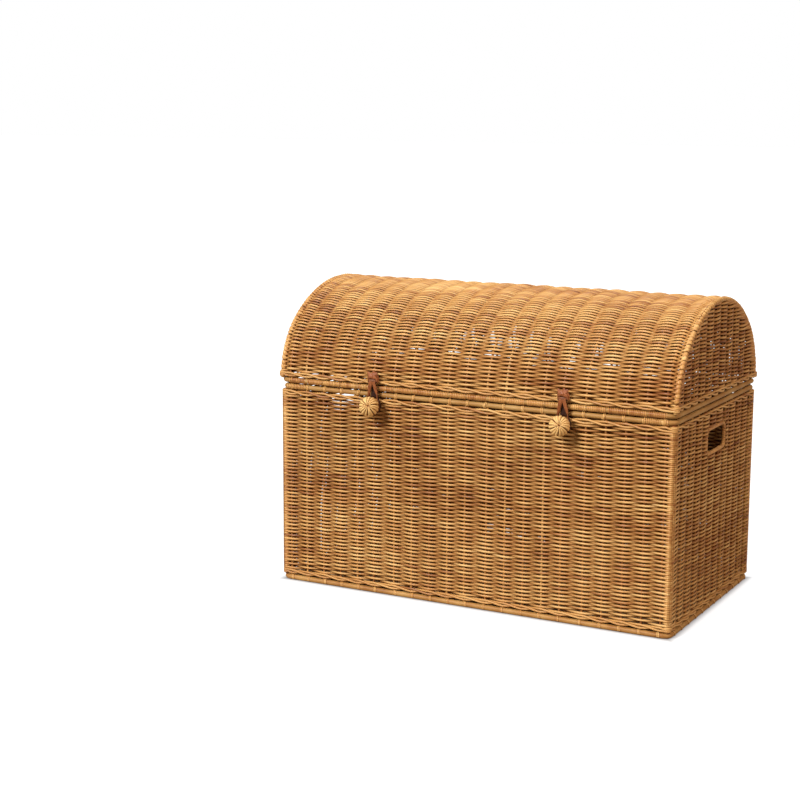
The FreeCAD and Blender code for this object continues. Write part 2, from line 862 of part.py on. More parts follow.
def closure_balls():
    """Cane balls on short necks, each with a blind hole for its cord."""
    neck_length = size["ball_wall_gap"] + size["ball_dia"] / 4
    ball = doc.addObject("Part::Sphere", "ball")
    bind(ball, Radius="ball_dia / 2")
    ball.Placement = Placement(Vector(0, size["ball_centre_y"], size["ball_level"]), Rotation())
    neck = rod(
        "ball_neck",
        (0, -size["trunk_depth"] / 2 - size["rod_clearance"], size["ball_level"]),
        (0, -1, 0),
        Radius="2 * cord_dia",
    )
    neck.Height = neck_length
    hole = rod(
        "ball_hole",
        (0, -size["trunk_depth"] / 2 + 1, size["ball_level"]),
        (0, -1, 0),
        Radius="cord_dia / 2 + rod_clearance",
    )
    hole.Height = neck_length + 1
    drilled = cut("ball_drilled", fuse("ball_and_neck", [ball, neck]), hole)
    columns = column_middles(CLOSURE_COLUMNS)
    for x, label in zip(columns, ("left_ball", "right_ball")):
        subpart(copies(f"{label}_place", drilled, shifts([(x, 0, 0)])), label)
    # the cord runs from a knot inside the wall to the end of the ball's hole
    inner_face = -size["inner_depth"] / 2
    shaft = rod("cord", (0, inner_face, size["ball_level"]), (0, -1, 0), Radius="cord_dia / 2")
    shaft.Height = size["wall_thick"] + neck_length
    stop = rod(
        "cord_stop",
        (0, inner_face + size["rod_clearance"], size["ball_level"]),
        (0, 1, 0),
        Radius="cord_knot_dia / 2",
        Height="cord_knot_length",
    )
    bridge = rod(
        "cord_bridge",
        (0, inner_face + 1, size["ball_level"]),
        (0, -1, 0),
        Radius="cord_dia / 2",
        Height="2",
    )
    cord = fuse("cord_and_stop", [shaft, stop, bridge])
    subpart(copies("cord_set", cord, shifts([(x, 0, 0) for x in columns])), "ball_cords")


def closure_knots():
    """Folded leather on the lid. The loop's rolled top turns between two ears at its foot."""
    back = size["loop_pivot_y"] + size["loop_pivot_reach"] - size["lid_overhang"]
    back -= size["knot_lid_gap"]
    foot = size["loop_pivot_level"] - size["loop_roll_dia"] / 2 - size["knot_ear_wall"]
    block = box(
        "knot_block",
        (-size["knot_width"] / 2, back - size["knot_thick"], foot),
        Length="knot_width",
        Width="knot_thick",
        Height="knot_height",
    )
    slot = box(
        "knot_slot",
        (-size["knot_slot_width"] / 2, back - 2 * size["knot_thick"], foot - 1),
        Length="knot_slot_width",
        Width="3 * knot_thick",
        Height="knot_slot_height + 1",
    )
    bore = rod(
        "knot_bore",
        (-size["knot_width"], size["loop_pivot_y"], size["loop_pivot_level"]),
        (1, 0, 0),
        Radius="loop_roll_dia / 2 + hinge_clearance",
        Height="2 * knot_width",
    )
    knot = cut("knot", block, fuse("knot_space", [slot, bore]))
    for x, label in zip(column_middles(CLOSURE_COLUMNS), ("left_knot", "right_knot")):
        subpart(copies(f"{label}_place", knot, shifts([(x, 0, 0)])), label)


def closure_loops():
    """A leather strap bent into a drop-shaped ring that passes over the ball when it swings out."""
    pivot = Vector(0, size["loop_pivot_y"], size["loop_pivot_level"])
    ball = Vector(0, size["ball_centre_y"], size["ball_level"])
    drop = (ball - pivot).Length - size["loop_neck_drop"]
    neck, ring = size["loop_neck_radius"], size["ring_radius"]
    outside = extrude(
        "strap_outside",
        Part.Face(teardrop(neck, ring + size["strap_thick"], drop)),
        (0, 1, 0),
        "strap_width",
    )
    inside = extrude(
        "strap_inside",
        Part.Face(teardrop(neck - size["strap_thick"], ring, drop)),
        (0, 1, 0),
        "2 * strap_width",
    )
    roll = rod(
        "strap_roll",
        (-size["loop_roll_length"] / 2, 0, 0),
        (1, 0, 0),
        Radius="loop_roll_dia / 2",
        Height="loop_roll_length",
    )
    below_roll = shifts([(0, 0, -size["loop_neck_drop"])])
    lowered = copies("strap_lowered", cut("strap", outside, inside), below_roll)
    loop = fuse("strap_and_roll", [lowered, roll])
    lean = Rotation(Vector(1, 0, 0), -size["loop_lean"])
    for x, label in zip(column_middles(CLOSURE_COLUMNS), ("left_loop", "right_loop")):
        place = Placement(pivot + Vector(x, 0, 0), lean)
        subpart(copies(f"{label}_place", loop, [place]), label)


# ---------------------------------------------------------------- the whole trunk


def build():
    base_panel()
    base_crossbars()
    foot_rim()
    corner_posts()
    frame_posts()
    body_stakes()
    body_wall()
    hand_hold_frames()
    round_rim(
        "body_rim_pole",
        "body_rim",
        size["mid_x"],
        -size["mid_y"],
        size["mid_y"],
        size["body_rim_level"],
    )
    foot_x = (size["trunk_length"] - size["foot_rim_dia"]) / 2
    foot_y = (size["trunk_depth"] - size["foot_rim_dia"]) / 2
    ties("foot_tie", "bottom_rim_ties", foot_x, foot_y, size["foot_level"], "foot_rim_dia", True)
    ties(
        "rim_tie",
        "body_rim_ties",
        size["mid_x"],
        size["mid_y"],
        size["body_rim_level"],
        "rim_dia",
        False,
    )
    hinge_bindings()
    round_rim(
        "lid_rim_pole",
        "lid_rim",
        size["lid_mid_x"],
        -size["mid_y"] - size["lid_overhang"],
        size["mid_y"],
        size["lid_rim_level"],
    )
    lid_arches()
    lid_ribs()
    dome_bores = lid_stakes()
    lid_rim_wrap(dome_bores)
    lid_wall(dome_bores)
    end_stakes()
    closure_balls()
    closure_knots()
    closure_loops()


def check():
    """Stops if any object failed or any sub-part isn't a set of sound solids."""
    for item in doc.Objects:
        if "Invalid" in item.State or "Error" in item.State:
            raise RuntimeError(f"{item.Name} failed: {item.State}")
    for item in subparts:
        shape = item.Shape
        if shape.isNull() or not shape.isValid() or not shape.Solids:
            raise RuntimeError(f"{item.Label} has no sound solid")


def write():
    os.makedirs("parts", exist_ok=True)
    for item in subparts:
        shape = item.Shape
        shape.exportStep(f"parts/{item.Label}.step")
        bounds = shape.optimalBoundingBox()
        print(
            f"{item.Label}: {len(shape.Solids)} solids, {shape.Volume / 1000:.1f} cm3, "
            f"x {bounds.XMin:.1f} to {bounds.XMax:.1f}, y {bounds.YMin:.1f} to {bounds.YMax:.1f}, "
            f"z {bounds.ZMin:.1f} to {bounds.ZMax:.1f}"
        )


build()
doc.recompute()
check()
write()
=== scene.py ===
import json
import math

import bpy
import numpy as np
from mathutils import Matrix, Vector


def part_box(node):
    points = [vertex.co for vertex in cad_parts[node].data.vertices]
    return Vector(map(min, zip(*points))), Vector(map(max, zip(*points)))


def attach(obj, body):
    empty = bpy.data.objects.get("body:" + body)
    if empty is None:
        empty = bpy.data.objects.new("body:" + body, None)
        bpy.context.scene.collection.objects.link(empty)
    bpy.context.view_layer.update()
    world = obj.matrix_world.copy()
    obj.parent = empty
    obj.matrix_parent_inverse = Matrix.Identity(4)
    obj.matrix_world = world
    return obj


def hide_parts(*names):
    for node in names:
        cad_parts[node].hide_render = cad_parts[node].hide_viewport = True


# Wicker storage trunk: every weaver, wrap and tie is a strand of its own, laid on the CAD's stakes and poles.
# Lengths are in millimetres until a mesh is written, which is in metres.

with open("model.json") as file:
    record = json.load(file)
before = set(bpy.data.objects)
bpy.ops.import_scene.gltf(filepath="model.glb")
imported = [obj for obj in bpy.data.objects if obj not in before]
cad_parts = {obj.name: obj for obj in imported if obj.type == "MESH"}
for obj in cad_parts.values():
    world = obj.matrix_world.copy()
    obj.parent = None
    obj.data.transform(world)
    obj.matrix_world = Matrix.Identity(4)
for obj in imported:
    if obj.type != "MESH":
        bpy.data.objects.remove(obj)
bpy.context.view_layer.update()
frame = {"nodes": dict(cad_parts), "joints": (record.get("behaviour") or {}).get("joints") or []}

# ---------------------------------------------------------------- what the CAD says


def span(node):
    low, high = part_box(node)
    return np.array(low) * 1000, np.array(high) * 1000


def middle(node):
    return sum(span(node)) / 2


def clusters(node, axis, gap=5.0):
    """The middle of each group of a node's points along an axis."""
    mesh = frame["nodes"][node].data
    co = np.empty(len(mesh.vertices) * 3, np.float32)
    mesh.vertices.foreach_get("co", co)
    values = np.unique(np.round(co[axis::3].astype(float) * 1000, 3))
    groups = np.split(values, np.flatnonzero(np.diff(values) > gap) + 1)
    return np.array([(g[0] + g[-1]) / 2 for g in groups])


X, Y, Z = np.eye(3)
LONG_STAKES = clusters("front_stakes", 0)
SIDE_STAKES = clusters("right_stakes", 1)
END_STAKES = clusters("right_end_stakes", 1)
CORNER = np.array([clusters("corner_posts", 0)[-1], clusters("corner_posts", 1)[-1]])
WALL_MID = np.array([middle("right_stakes")[0], middle("back_stakes")[1]])

# the lid's arch: a crown between two shoulders, which spring from the lid's rim
ARCH_LOW, ARCH_HIGH = span("right_arch")
ARCH_MID_X, LID_Y = middle("right_arch")[:2]
ARCH_POLE = (ARCH_HIGH[0] - ARCH_LOW[0]) / 2
LID_HALF_Y = (ARCH_HIGH[1] - ARCH_LOW[1]) / 2 - ARCH_POLE
SPRING = ARCH_LOW[2]
RISE = ARCH_HIGH[2] - ARCH_POLE - SPRING
SHOULDER = 125.0  # the arch's shoulder radius in the CAD
REACH = LID_HALF_Y - SHOULDER
CROWN = (REACH**2 + RISE**2 - SHOULDER**2) / (2 * (RISE - SHOULDER))
CROWN_Z = SPRING + RISE - CROWN
LEAN = math.atan2(REACH, SPRING - CROWN_Z)
SHOULDER_RUN = SHOULDER * (math.pi / 2 - LEAN)
ARCH_RUN = 2 * SHOULDER_RUN + 2 * CROWN * LEAN

WEAVER = 1.6  # a weaver's radius
WEAVE_LIFT = 3.1  # a weaver's distance from the wall's middle as it passes a stake
DOME_LIFT = WALE_LIFT = 3.5
CORNER_LIFT = 3.2  # and as it rounds a corner post of the body
LID_CORNER = 4.6  # the radius at which the lid's wale rounds a corner
BODY_PITCH, DOME_PITCH, END_PITCH = 3.11, 3.1, 3.03  # from row to row
# a row's thickness over a weaver's: the panels away from the front and right are woven closest
FILL = {"front": 1.03, "right": 1.03, "back": 1.18, "left": 1.18,
        "dome_front": 1.0, "dome_back": 1.12, "left_end": 1.2, "right_end": 1.08}
ROW_STEP = 5.6  # about the distance between two points of a row
EDGE_RAMP = 14.0  # rows run straight at a panel's edges and wander freely this far in
TIE_OFFSET = 3.0  # a tie stands this far from its stake, towards the middle of the wall


def arch(run):
    """Points and outward directions (Y, Z) on the lid's mid-line at a distance from its front foot."""
    run = np.asarray(run, float)
    past = run - (ARCH_RUN - SHOULDER_RUN)
    parts = [run < SHOULDER_RUN, past > 0]
    turn = np.select(parts, [run / SHOULDER, math.pi / 2 + LEAN + past / SHOULDER],
                     math.pi / 2 - LEAN + (run - SHOULDER_RUN) / CROWN)
    radius = np.select(parts, [SHOULDER, SHOULDER], CROWN)
    centre_y = LID_Y + np.select(parts, [-REACH, REACH], 0.0)
    centre_z = np.select(parts, [SPRING, SPRING], CROWN_Z)
    out = np.stack([-np.cos(turn), np.sin(turn)], -1)
    return np.stack([centre_y, centre_z], -1) + radius[..., None] * out, out


def arch_half_width(level):
    """How far the arch reaches from the lid's middle at a level."""
    rise = level - SPRING
    if rise <= SHOULDER * math.cos(LEAN):
        return REACH + math.sqrt(SHOULDER**2 - rise**2)
    return math.sqrt(max(CROWN**2 - (level - CROWN_Z) ** 2, 0.0))


def at_x(x, yz):
    """Points from an x and pairs (Y, Z)."""
    return np.column_stack([np.broadcast_to(x, len(yz)), yz])


# ---------------------------------------------------------------- strands


def circle(count):
    turn = np.arange(count) * 2 * math.pi / count
    return np.stack([np.cos(turn), np.sin(turn)], -1)


# cross-sections, in half widths and half thicknesses
ROUND, ROUND_FINE = circle(6), circle(12)
FLAT = np.array([(-1, 0.1), (-0.8, -1), (0.8, -1), (1, 0.1), (0.62, 0.8), (0, 1), (-0.62, 0.8)])
STRAP = np.array([(-1, -0.6), (-0.9, -1), (0.9, -1), (1, -0.6), (1, 0.45), (0.88, 0.9), (0.5, 1), (-0.5, 1),
                  (-0.88, 0.9), (-1, 0.45)])


def unit(v):
    return v / np.linalg.norm(v, axis=-1, keepdims=True)


def mix(a, b, t):
    return a + (b - a) * t


def ease(t):
    return 0.5 - 0.5 * np.cos(np.pi * np.clip(t, 0, 1))


class Bundle:
    """Strands that become one mesh. Each point keeps its strand's tone, its place in the straightened strand
    (grain) and a painted shade, darker the deeper it lies among its neighbours."""

    def __init__(self, section=ROUND, *, seed):
        self.section, self.rng = section, np.random.default_rng(seed)
        self.count, self.parts = 0, []

    def add(self, points, out, half_width, half_thick=None, tone=None, bow=None, flank=0.45):
        """One strand through points. out is the way its upper face looks. bow is 1 where it bows out and -1
        where it bows in. The last argument is the painted shade on its sides, which the painted shade of its
        faces starts from."""
        half_thick = half_width if half_thick is None else half_thick
        n, k = len(points), len(self.section)
        tangent = unit(np.gradient(points, axis=0))
        side = unit(np.cross(tangent, out))
        face = np.cross(side, tangent)
        u = np.broadcast_to(half_width, n)[:, None] * self.section[:, 0]
        v = np.broadcast_to(half_thick, n)[:, None] * self.section[:, 1]
        ring = points[:, None] + side[:, None] * u[..., None] + face[:, None] * v[..., None]
        steps = np.linalg.norm(np.diff(points, axis=0), axis=1)
        run = np.concatenate([[0], np.cumsum(steps)]) + self.rng.uniform(0, 9000)
        grain = np.stack([np.broadcast_to(run[:, None], u.shape), u, v], -1)
        ids = self.count + np.arange(n * k).reshape(n, k)
        after = np.roll(ids, -1, axis=1)
        sides = np.stack([ids[:-1], ids[1:], after[1:], after[:-1]], -1).reshape(-1)
        tone = self.rng.uniform() if tone is None else tone
        # painted shade: lighter on the face that looks out where a strand bows out, darker there where it
        # bows in, and darker again on the face that looks in
        upper = self.section[:, 1]
        painted_shade = flank - (0.4 * upper if bow is None else 0.5 * np.asarray(bow)[:, None] * upper)
        painted_shade = painted_shade + 0.35 * np.maximum(-upper, 0)
        self.parts.append({
            "points": ring.reshape(-1, 3),
            "grain": grain.reshape(-1, 3),
            "tone": np.full(n * k, tone),
            "painted_shade": np.clip(np.broadcast_to(painted_shade, (n, k)), 0, 1).reshape(-1),
            "sides": sides,
            "caps": np.concatenate([ids[0], ids[-1][::-1]]),
        })
        self.count += n * k

    def joined(self, key, kind=np.float32):
        return np.concatenate([part[key] for part in self.parts]).astype(kind)

    def piece(self, name, material, body, slot, *nodes):
        """The mesh, made a piece that rides on a body and stands for the CAD's nodes."""
        sides, caps = self.joined("sides", np.int32), self.joined("caps", np.int32)
        loops = np.concatenate([sides, caps])
        cap_starts = len(sides) + np.arange(0, len(caps), len(self.section))
        starts = np.concatenate([np.arange(0, len(sides), 4), cap_starts])
        mesh = bpy.data.meshes.new(name)
        mesh.vertices.add(self.count)
        mesh.vertices.foreach_set("co", (self.joined("points", float) / 1000).astype(np.float32).ravel())
        mesh.loops.add(len(loops))
        mesh.loops.foreach_set("vertex_index", loops)
        mesh.polygons.add(len(starts))
        mesh.polygons.foreach_set("loop_start", starts.astype(np.int32))
        sharp = mesh.attributes.new("sharp_face", "BOOLEAN", "FACE")
        sharp.data.foreach_set("value", np.arange(len(starts)) >= len(sides) // 4)
        grain = mesh.attributes.new("grain", "FLOAT_VECTOR", "POINT")
        grain.data.foreach_set("vector", self.joined("grain").ravel())
        for label in ("tone", "painted_shade"):
            values = mesh.attributes.new(label, "FLOAT", "POINT")
            values.data.foreach_set("value", self.joined(label))
        mesh.update(calc_edges=True)
        mesh.validate()
        mesh.materials.append(material)
        obj = bpy.data.objects.new(name, mesh)
        bpy.context.scene.collection.objects.link(obj)
        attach(obj, body)
        if nodes:
            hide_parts(*nodes)


class Drift:
    """A smooth random field in space: a sum of waves whose lengths are given along X, Y and Z."""

    def __init__(self, seed, size, lengths):
        rng, terms = np.random.default_rng(seed), 7
        self.waves = rng.normal(size=(terms, 3)) * 2 * math.pi / np.array(lengths)
        self.phase = rng.uniform(0, 2 * math.pi, terms)
        self.size = 1.4 * size / math.sqrt(terms)

    def at(self, points):
        return self.size * np.sin(points @ self.waves.T + self.phase).sum(-1)


BODY_DRIFT = Drift(11, 1.0, (300, 300, 250))
DOME_DRIFT = Drift(12, 0.8, (260, 300, 300))
DOME_SWELL = Drift(13, 0.9, (300, 160, 160))
END_DRIFT = Drift(14, 0.9, (220, 220, 200))


def row_path(stops, lifts, levels):
    """Samples a strand that eases from stop to stop: distances along, lifts and levels."""
    along, lift, level = [], [], []
    for k in range(len(stops) - 1):
        n = max(3, round(abs(stops[k + 1] - stops[k]) / ROW_STEP))
        t = np.arange(n) / n
        along.append(mix(stops[k], stops[k + 1], t))
        lift.append(mix(lifts[k], lifts[k + 1], ease(t)))
        level.append(mix(levels[k], levels[k + 1], ease(t)))
    ends = ((along, stops[-1]), (lift, lifts[-1]), (level, levels[-1]))
    return [np.concatenate(part + [[end]]) for part, end in ends]


class Wall:
    """A flat wall whose strands turn round a post at each end, 45 degrees to the mitre. half is the distance
    from its middle to a post, mid that from the trunk's middle to the wall's, and inset that from the wall's
    middle to the line of the posts."""

    def __init__(self, along, out, mid, half, inset, turn_radius, centre=(0, 0, 0)):
        self.along, self.out = np.array(along, float), np.array(out, float)
        self.mid, self.half, self.inset = mid, half, inset
        self.turn, self.centre = turn_radius, np.array(centre, float)
        self.end = half + turn_radius * math.pi / 4

    def place(self, u, lift, level):
        angle = np.maximum(np.abs(u) - self.half, 0) / self.turn
        radius = self.inset + lift
        across = np.sign(u) * (np.minimum(np.abs(u), self.half) + radius * np.sin(angle))
        depth = self.mid - self.inset + radius * np.cos(angle)
        points = self.centre + across[:, None] * self.along + depth[:, None] * self.out
        points = points + np.asarray(level)[:, None] * Z
        out = np.cos(angle)[:, None] * self.out + (np.sign(u) * np.sin(angle))[:, None] * self.along
        return points, out


def body_walls():
    inset = WALL_MID - CORNER
    turn = inset[0] + WEAVE_LIFT
    return {
        "front": Wall(X, -Y, WALL_MID[1], CORNER[0], inset[1], turn),
        "right": Wall(Y, X, WALL_MID[0], CORNER[1], inset[0], turn),
        "back": Wall(-X, Y, WALL_MID[1], CORNER[0], inset[1], turn),
        "left": Wall(-Y, -X, WALL_MID[0], CORNER[1], inset[0], turn),
    }


def lid_walls():
    centre = (0, LID_Y, 0)
    return {
        "front": Wall(X, -Y, LID_HALF_Y, ARCH_MID_X, 0, LID_CORNER, centre),
        "right": Wall(Y, X, ARCH_MID_X, LID_HALF_Y, 0, LID_CORNER, centre),
        "back": Wall(-X, Y, LID_HALF_Y, ARCH_MID_X, 0, LID_CORNER, centre),
        "left": Wall(-Y, -X, ARCH_MID_X, LID_HALF_Y, 0, LID_CORNER, centre),
    }


# ---------------------------------------------------------------- woven panels


def over_and_under(count, row, lift):
    """Lifts of a row at its stakes, the other way round in the next row."""
    return lift * np.where((np.arange(count) + row) % 2 == 0, 1, -1)


def weaver_size(lift):
    """A weaver is a little flattened where it bows out over a stake."""
    bow = np.abs(lift) / WEAVE_LIFT
    return WEAVER * (1.03 + 0.17 * bow), WEAVER * (0.97 - 0.14 * bow)


def woven_row(bundle, place, stops, lifts, level, drift, window, fill):
    """One row of a flat wall. fill is how well it fills its pitch, and window how freely it drifts."""
    jitter = bundle.rng.normal(0, 0.1, len(stops))
    jitter[[0, -1]] = 0
    u, lift, rise = row_path(stops, lifts, jitter)
    points, out = place(u, lift, np.full(len(u), level))
    shift = drift.at(points) * window + rise
    points, out = place(u, lift, level + shift)
    width, thick = weaver_size(lift)
    wobble = 1 + 0.05 * np.sin(u / bundle.rng.uniform(25, 60) + bundle.rng.uniform(0, 6))
    # painted shade: where a row rounds a corner it keeps its shade, with hardly any lighter outward face
    bow = lift / WEAVE_LIFT * np.where((u < stops[1]) | (u > stops[-2]), 0.1, 1.0)
    width = width * fill * wobble * bundle.rng.normal(1, 0.03)
    bundle.add(points, out, width, thick * fill, bow=bow, flank=0.54)


def edge_window(level, low, high):
    return float(ease((level - low) / EDGE_RAMP) * ease((high - level) / EDGE_RAMP))


def body_weave(name, wall, stakes, opening=None):
    """The rows of one body wall. An opening is (half width, low, high)."""
    low, high = (corner[2] for corner in span(f"{name}_weave"))
    rows = round((high - low) / BODY_PITCH)
    pitch = (high - low) / rows
    bundle = Bundle(seed=len(name) * 17 + int(wall.mid))
    stakes = np.sort(stakes)
    first, last = (-wall.end, -wall.half), (wall.half, wall.end)
    corner = (CORNER_LIFT, CORNER_LIFT)
    for row in range(rows):
        level = low + (row + 0.5) * pitch
        lifts = over_and_under(len(stakes), row, WEAVE_LIFT)
        runs = [(np.r_[first, stakes, last], np.r_[corner, lifts, corner])]
        if opening and opening[1] < level < opening[2]:
            # the row stops at the opening's pole and goes on behind it
            near, far = stakes < -opening[0], stakes > opening[0]
            runs = [
                (np.r_[first, stakes[near], -opening[0]], np.r_[corner, lifts[near], 0.8 * lifts[near][-1]]),
                (np.r_[opening[0], stakes[far], last], np.r_[0.8 * lifts[far][0], lifts[far], corner]),
            ]
        window = edge_window(level, low, high)
        for stops, run_lifts in runs:
            woven_row(bundle, wall.place, stops, run_lifts, level, BODY_DRIFT, window, FILL[name])
    return bundle


def dome_weave(first, last, low_run, pitch, fill):
    """Rows of the dome, numbered from the front wale over the crown to the back wale."""
    bundle = Bundle(seed=first + 5)
    stakes = clusters("lid_stakes", 0)
    stops = np.r_[-ARCH_MID_X, stakes, ARCH_MID_X]
    total = ARCH_RUN - 2 * low_run
    for row in range(first, last):
        run = low_run + (row + 0.5) * pitch
        lifts = over_and_under(len(stops), row, DOME_LIFT)
        jitter = bundle.rng.normal(0, 0.12, len(stops))
        u, lift, rise = row_path(stops, lifts, jitter)
        probe = at_x(u, arch(np.full(len(u), run))[0])
        shift = DOME_DRIFT.at(probe) * edge_window(run - low_run, 0, total) + rise
        at, out = arch(run + shift)
        # the lid has sagged and swelled a little between its ribs
        swollen = lift + 0.5 * DOME_SWELL.at(probe)
        points = at_x(u, at + out * swollen[:, None])
        width, thick = weaver_size(lift * WEAVE_LIFT / DOME_LIFT)
        # the rows lie closest over the crown
        crown = ease((out[:, 1] - 0.6) / 0.4)
        width = width * fill * (1 + 0.11 * crown) * bundle.rng.normal(1.08, 0.02)
        # painted light: the rows' painted shade is lighter over the crown, where light from above falls
        bundle.add(points, at_x(0, out), width, thick * fill, bow=lift / DOME_LIFT,
                   flank=0.52 - 0.2 * crown[:, None])
    return bundle


def end_weave(side, low, pitch, fill):
    """Rows of a lid end, from the wale up to the arch."""
    bundle = Bundle(seed=40 + side)
    hoop_cover = 4.5  # a row's last stretch, where it comes over the hoop
    shortest = 18.0  # half the length of the row that is too short to weave
    far = 1e4  # this wall has no corners
    wall = Wall(Y * side, X * side, ARCH_MID_X, far, 0, 1.0, (0, LID_Y, 0))
    stakes = np.sort((END_STAKES - LID_Y) * side)
    level, row = low + pitch / 2, 0
    while arch_half_width(level) > shortest:
        reach = arch_half_width(level)
        keep = np.abs(stakes) < reach - 2 * hoop_cover
        lifts = over_and_under(len(stakes), row, WEAVE_LIFT)[keep]
        # every row's end comes out over the hoop, the outer ones lying closer to it
        ends = np.where(lifts[[0, -1]] > 0, 2.7, 3.5)
        stops = np.r_[-reach, -reach + hoop_cover, stakes[keep], reach - hoop_cover, reach]
        woven_row(bundle, wall.place, stops, np.r_[0.3, ends[0], lifts, ends[1], 0.3], level, END_DRIFT,
                  edge_window(level, low, SPRING + RISE - 5), fill)
        level, row = level + pitch, row + 1
    return bundle


def wale(walls, stakes, level, corner_lift, seed, spread):
    """Three strands twisted round the stakes of all four walls: before two stakes, behind one."""
    bundle = Bundle(seed=seed)
    for strand in range(3):
        count, points, outs = 0, [], []
        for name, wall in walls.items():
            places = stakes[name]
            phase = (np.arange(len(places)) + count + strand) % 3
            count += len(places)
            lifts = np.where(phase == 2, -WALE_LIFT, WALE_LIFT)
            rises = np.choose(phase, [spread, -spread, 0.0]) + bundle.rng.normal(0, 0.15, len(places))
            turn = (1 - strand) * spread * 1.1
            stops = np.r_[-wall.end, -wall.half, places, wall.half, wall.end]
            ends = np.full(2, corner_lift)
            u, out_by, rise = row_path(stops, np.r_[ends, lifts, ends], np.r_[turn, turn, rises, turn, turn])
            at, out = wall.place(u, out_by, level + rise)
            points.append(at[:-1])
            outs.append(out[:-1])
        # the strand closes on its own first point
        points, outs = np.concatenate(points + [points[0][:1]]), np.concatenate(outs + [outs[0][:1]])
        bundle.add(points, outs, WEAVER * 1.2, WEAVER * 1.08, flank=0.56)
    return bundle


# ---------------------------------------------------------------- wraps and ties


def coil(centres, normals, binormals, runs, radius, pitch, start=0.0):
    """A helix round a path given by points, two directions and distances. start is its first angle."""
    angle = start + 2 * math.pi * runs / pitch
    out = normals * np.cos(angle)[:, None] + binormals * np.sin(angle)[:, None]
    return centres + radius * out, out


def arch_edge(side):
    """The end hoop: a core pole with the ends of the dome's rows twisted round it like a rope."""
    bundle = Bundle(ROUND_FINE, seed=60 + side)

    def hoop(run):
        at, out = arch(run)
        return at_x(side * ARCH_MID_X, at), at_x(0, out)

    points, outs = hoop(np.linspace(0, ARCH_RUN, 90))
    # the core pole is painted in deep shade where it shows between the laps
    bundle.add(points, outs, 2.0, tone=0.1, flank=1.0)
    spacing = 7.5
    for lap in range(int((ARCH_RUN - 6) / spacing)):
        begin = 2.0 + lap * spacing + bundle.rng.normal(0, 0.5)
        # each pair of row ends comes over the hoop from the dome and turns in under it
        part = np.linspace(0, 1, 13)
        points, outs = hoop(np.clip(begin + 4.5 * (part - 0.3), 0, ARCH_RUN))
        angle = math.radians(-118) + math.radians(285) * part
        face = outs * np.cos(angle)[:, None] + side * X * np.sin(angle)[:, None]
        radius = 2.75 + 0.35 * np.sin(math.pi * part) + bundle.rng.normal(0, 0.12)
        width = bundle.rng.uniform(3.4, 4.0) * (0.75 + 0.25 * np.sin(math.pi * part))
        tone = bundle.rng.uniform(0.9, 1.7)
        bundle.add(points + face * radius[:, None], face, width, 1.25, tone, flank=0.5)
    return bundle


def straight_wrap(bundle, start, axis, length, radius, pitch, size, tone, turn=0.0, flank=0.6):
    """Flat cane wound round a level pole. size is its half width and half thickness."""
    run = np.linspace(0, length, max(12, int(length / pitch * 10)))
    path, face = coil(start + run[:, None] * axis, Z, np.cross(axis, Z), run, radius, pitch, turn)
    bundle.add(path, face, *size, tone, flank=flank)


def lid_pole_wrap():
    """Cane wound closely round the lid's front pole, afresh from stake to stake."""
    bundle = Bundle(FLAT, seed=71)
    low, high = span("lid_rim_wrap")
    centre = (low + high) / 2
    stops = np.r_[low[0], LONG_STAKES + 2.0, high[0]]
    begin, end = 1.6, 2.0  # a winding keeps this far from the stops on its two sides
    for first, last in zip(stops[:-1], stops[1:]):
        start, length = np.array([first + begin, centre[1], centre[2]]), last - first - begin - end
        turn, tone = bundle.rng.uniform(0, 6.28), bundle.rng.uniform(0.2, 1.0)
        straight_wrap(bundle, start, X, length, 4.35, 3.0, (1.4, 0.5), tone, turn, 0.5)
    return bundle


def beside_stakes(stakes):
    """A tie stands by each stake, towards the middle of its wall, as in the CAD."""
    return stakes - np.copysign(TIE_OFFSET, stakes)


def rim_ties():
    """Two turns of flat cane round the body's rim pole beside each stake, and a close binding of the pole
    before each corner."""
    bundle = Bundle(FLAT, seed=81)
    tie, binding, corner_gap = 5.0, 36.0, 6.0
    walls = body_walls()
    for wall in (walls["front"], walls["back"]):
        pole = wall.mid * wall.out + middle("body_rim")[2] * Z
        for place in beside_stakes(LONG_STAKES):
            start, turn = (place - tie / 2 - 0.1) * X + pole, bundle.rng.uniform(0, 6.28)
            straight_wrap(bundle, start, X, tie, 4.75, tie / 2, (1.1, 0.7), 1.6, turn, 0.5)
        for side in (-1, 1):
            start = side * (CORNER[0] - binding - corner_gap) * X + pole
            straight_wrap(bundle, start, side * X, binding, 4.45, 3.0, (1.35, 0.5), 1.1)
    return bundle


def foot_ties():
    """Cane over the foot pole beside each stake, open below where the trunk stands."""
    bundle = Bundle(FLAT, seed=82)
    pole, half_turn = 4.5, math.radians(118)
    centre = span("bottom_rim")[1] - pole
    turn = np.linspace(-half_turn, half_turn, 14)
    for name, wall in body_walls().items():
        reach, stakes = (centre[1], LONG_STAKES) if name in ("front", "back") else (centre[0], SIDE_STAKES)
        out = np.sin(turn)[:, None] * wall.out + np.cos(turn)[:, None] * Z
        for at in beside_stakes(stakes):
            for strand in range(2):
                lean = (turn / math.pi) * 3.2 + (strand - 0.5) * 2.15
                points = (reach * wall.out + centre[2] * Z + (at + lean)[:, None] * np.abs(wall.along)
                          + (pole + 0.45) * out)
                bundle.add(points, out, 1.15, 0.75, tone=bundle.rng.uniform(1.0, 1.8), flank=0.65)
    return bundle


